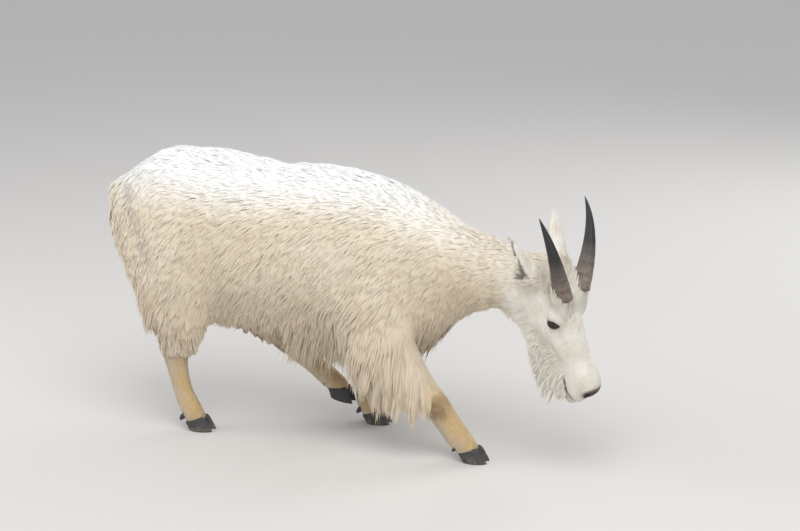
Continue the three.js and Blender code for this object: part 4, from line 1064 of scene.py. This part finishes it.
def strands(picks, stops, long, locks, gather):
    """The bent line of each tuft, the guides that locks gather to, and the guide of each tuft."""
    base, up = root[picks], out[picks]
    sway = rng.normal(0, SWAY, (len(picks), 3))
    line = []
    for s in stops:
        step = lie[picks] * s + up * (lift[picks] * s * (1.35 - 0.75 * s))[:, None] + sway * s**2
        step[:, 2] -= droop[picks] * s**2
        line.append(base - up * (SUNK * long)[:, None] + step * long[:, None])
    line = np.stack(line, 1)
    guides = rng.choice(len(picks), max(1, len(picks) // locks), replace=False)
    nearest = np.empty(len(picks), int)
    for first in range(0, len(picks), 2000):
        part = base[first:first + 2000]
        gap = (part**2).sum(1)[:, None] - 2 * part @ base[guides].T + (base[guides]**2).sum(1)
        nearest[first:first + 2000] = gap.argmin(1)
    pull = line[guides, -1][nearest] - line[:, -1]
    far = np.linalg.norm(pull, axis=1, keepdims=True)
    pull *= np.minimum(1, 0.6 * long[:, None] / np.maximum(far, 1e-6)) * gather
    for i, s in enumerate(stops):
        line[:, i] += pull * s**1.6
    line[:, :, 2] = np.maximum(line[:, :, 2], LOWEST)
    return line, guides, nearest


def sliver_faces(corners):
    """The faces of one sliver with so many points, and which of them are on its underside."""
    faces, under = [(0, 2, 1)], [False]
    for a in range(0, corners - 4, 3):
        for j in range(3):
            k = (j + 1) % 3
            faces += [(a + j, a + k, a + 3 + k), (a + j, a + 3 + k, a + 3 + j)]
            under += [j == 0, j == 0]
    faces += [(corners - 4 + j, corners - 4 + (j + 1) % 3, corners - 1) for j in range(3)]
    under += [True, False, False]
    return np.array(faces), np.array(under)


def grow(name, where, count, kind, width, locks=12, gather=0.5, extra=1.0):
    """A piece of coat. Its tufts' normals are those of the fur as a whole, so that it looks soft."""
    picks = drawn(where, count)
    count = len(picks)
    stops = [s for s, _ in SLIVERS[kind]]
    long = length[picks] * extra
    line, guides, nearest = strands(picks, [*stops, 1.0], long, locks, gather)
    wide = width * rng.uniform(0.75, 1.25, count) * np.clip(long / long.mean(), 0.6, 1.3)
    wide *= 1 + 0.35 * soft(below_crest[picks], 0.18, 0.06) * (head_share[picks] < 0.5)
    show = outer[picks]
    points, normals = [], []
    for i, (_, breadth) in enumerate(SLIVERS[kind]):
        along = unit(line[:, i + 1] - line[:, max(i - 1, 0)])
        across = unit(np.cross(show, along))
        over = np.cross(along, across)
        for a, b in ((-0.5, 0.0), (0.5, 0.0), (0.0, RIDGE)):
            points.append(line[:, i] + (across * a + over * b) * (wide * breadth)[:, None])
            normals.append(unit(show + over * 0.3 + across * 0.5 * a))
    points.append(line[:, -1])
    normals.append(unit(show + over))
    corners = len(points)
    points = np.stack(points, 1).reshape(-1, 3)
    normals = np.stack(normals, 1).reshape(-1, 3)
    one, under = sliver_faces(corners)
    faces = (np.arange(count)[:, None, None] * corners + one).reshape(-1, 3)
    piece = piece_of(name, points, faces)
    patch = np.array([(way, s) for s in stops for way in (0.0, 1.0, 0.5)] + [(0.5, 1.0)])
    uv = unwrapped(root[picks], out[picks])[:, None] + patch * PATCH
    layer = piece.data.uv_layers.new(name="OFBake")
    layer.uv.foreach_set("vector", uv.reshape(-1, 2)[faces.ravel()].astype(np.float32).ravel())
    tone = 0.5 + rng.normal(0, 0.20, count) + rng.normal(0, 0.22, len(guides))[nearest]
    give(piece, "shade", np.repeat(np.clip(tone, 0, 1), corners))
    give(piece, "reach", np.tile(patch[:, 1], count))
    for label, values in root_marks.items():
        give(piece, label, np.repeat(values[picks], corners))
    at_corners = normals[faces.ravel()].reshape(count, len(one), 3, 3)
    at_corners[:, under] *= -1
    piece.data.normals_split_custom_set(at_corners.reshape(-1, 3))
    piece.data.materials.append(hair)
    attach(piece, "root")


LONG_ON_LEGS = 0.028
LONG_ON_FACE = 0.024
body = (1 - head_share) * (1 - leg_share) * (tail_share < 0.5)
trunk = body * (1 - neck_share)
near_side = y < 0
flank = trunk * (belly_share < 0.5) * (rump_share < 0.5)
grow("coat_right_flank", flank * near_side, 19800, "middling", 0.0034, gather=0.3, extra=1.25)
grow("coat_left_flank", flank * ~near_side, 15000, "middling", 0.0040, gather=0.3, extra=1.25)
grow("coat_rump", trunk * (rump_share >= 0.5), 15000, "middling", 0.0036, gather=0.4, extra=1.1)
grow("coat_belly", trunk * (belly_share >= 0.5) * (rump_share < 0.5), 9000, "long", 0.0050,
     locks=16, gather=0.75)
grow("coat_neck", body * neck_share, 16000, "middling", 0.0032, gather=0.35, extra=1.1)
fringe = leg_share * (length > LONG_ON_LEGS)
grow("coat_fore_legs", fringe * fore, 9000, "long", 0.0046, locks=16, gather=0.7)
grow("coat_hind_legs", fringe * ~fore, 9000, "long", 0.0046, locks=16, gather=0.7)
grow("coat_shanks", leg_share * (length <= LONG_ON_LEGS), 25000, "short", 0.0019, gather=0.2)
face = head_share * (length < LONG_ON_FACE)
grow("coat_face", face * (1 + soft(f, 0.0, 0.30)), 35000, "short", 0.0017, gather=0.15)
grow("coat_beard", head_share * (length >= LONG_ON_FACE), 8000, "long", 0.0028, locks=8, gather=0.4)
grow("coat_tail", tail_share, 1500, "long", 0.0040, locks=12, gather=0.5)

# The floor is plain, pale and wide enough to fill the picture. Four soft round lamps light the
# animal: a strong one high in front, and weaker ones that lift the shadows all round.
FLOOR_SIZE = 30
FLOOR_PALE = (0.62, 0.60, 0.57, 1)
SKY_PALE = (0.93, 0.95, 1.0, 1)
bpy.ops.mesh.primitive_plane_add(size=FLOOR_SIZE)
floor = bpy.context.object
floor.name = "floor"
ground, _, surface, _ = material("floor_pale")
surface.inputs["Base Color"].default_value = FLOOR_PALE
surface.inputs["Roughness"].default_value = 0.9
floor.data.materials.append(ground)
for spot, size, power in (
    ((1.0, -2.4, 4.6), 4.2, 136.0),
    ((2.4, -3.6, 1.3), 3.0, 26.0),
    ((-3.6, -1.0, 2.4), 2.6, 45.0),
    ((2.0, 3.6, 2.6), 2.6, 50.0),
):
    bpy.ops.object.light_add(type="AREA", location=spot)
    lamp = bpy.context.object
    lamp.rotation_euler = (Vector(spot) - LOOK_AT).to_track_quat("Z", "Y").to_euler()
    lamp.data.shape = "DISK"
    lamp.data.size = size
    lamp.data.energy = power
world = bpy.data.worlds.new("studio")
bpy.context.scene.world = world
world.use_nodes = True
sky = world.node_tree.nodes["Background"]
sky.inputs["Color"].default_value = SKY_PALE
sky.inputs["Strength"].default_value = 0.72
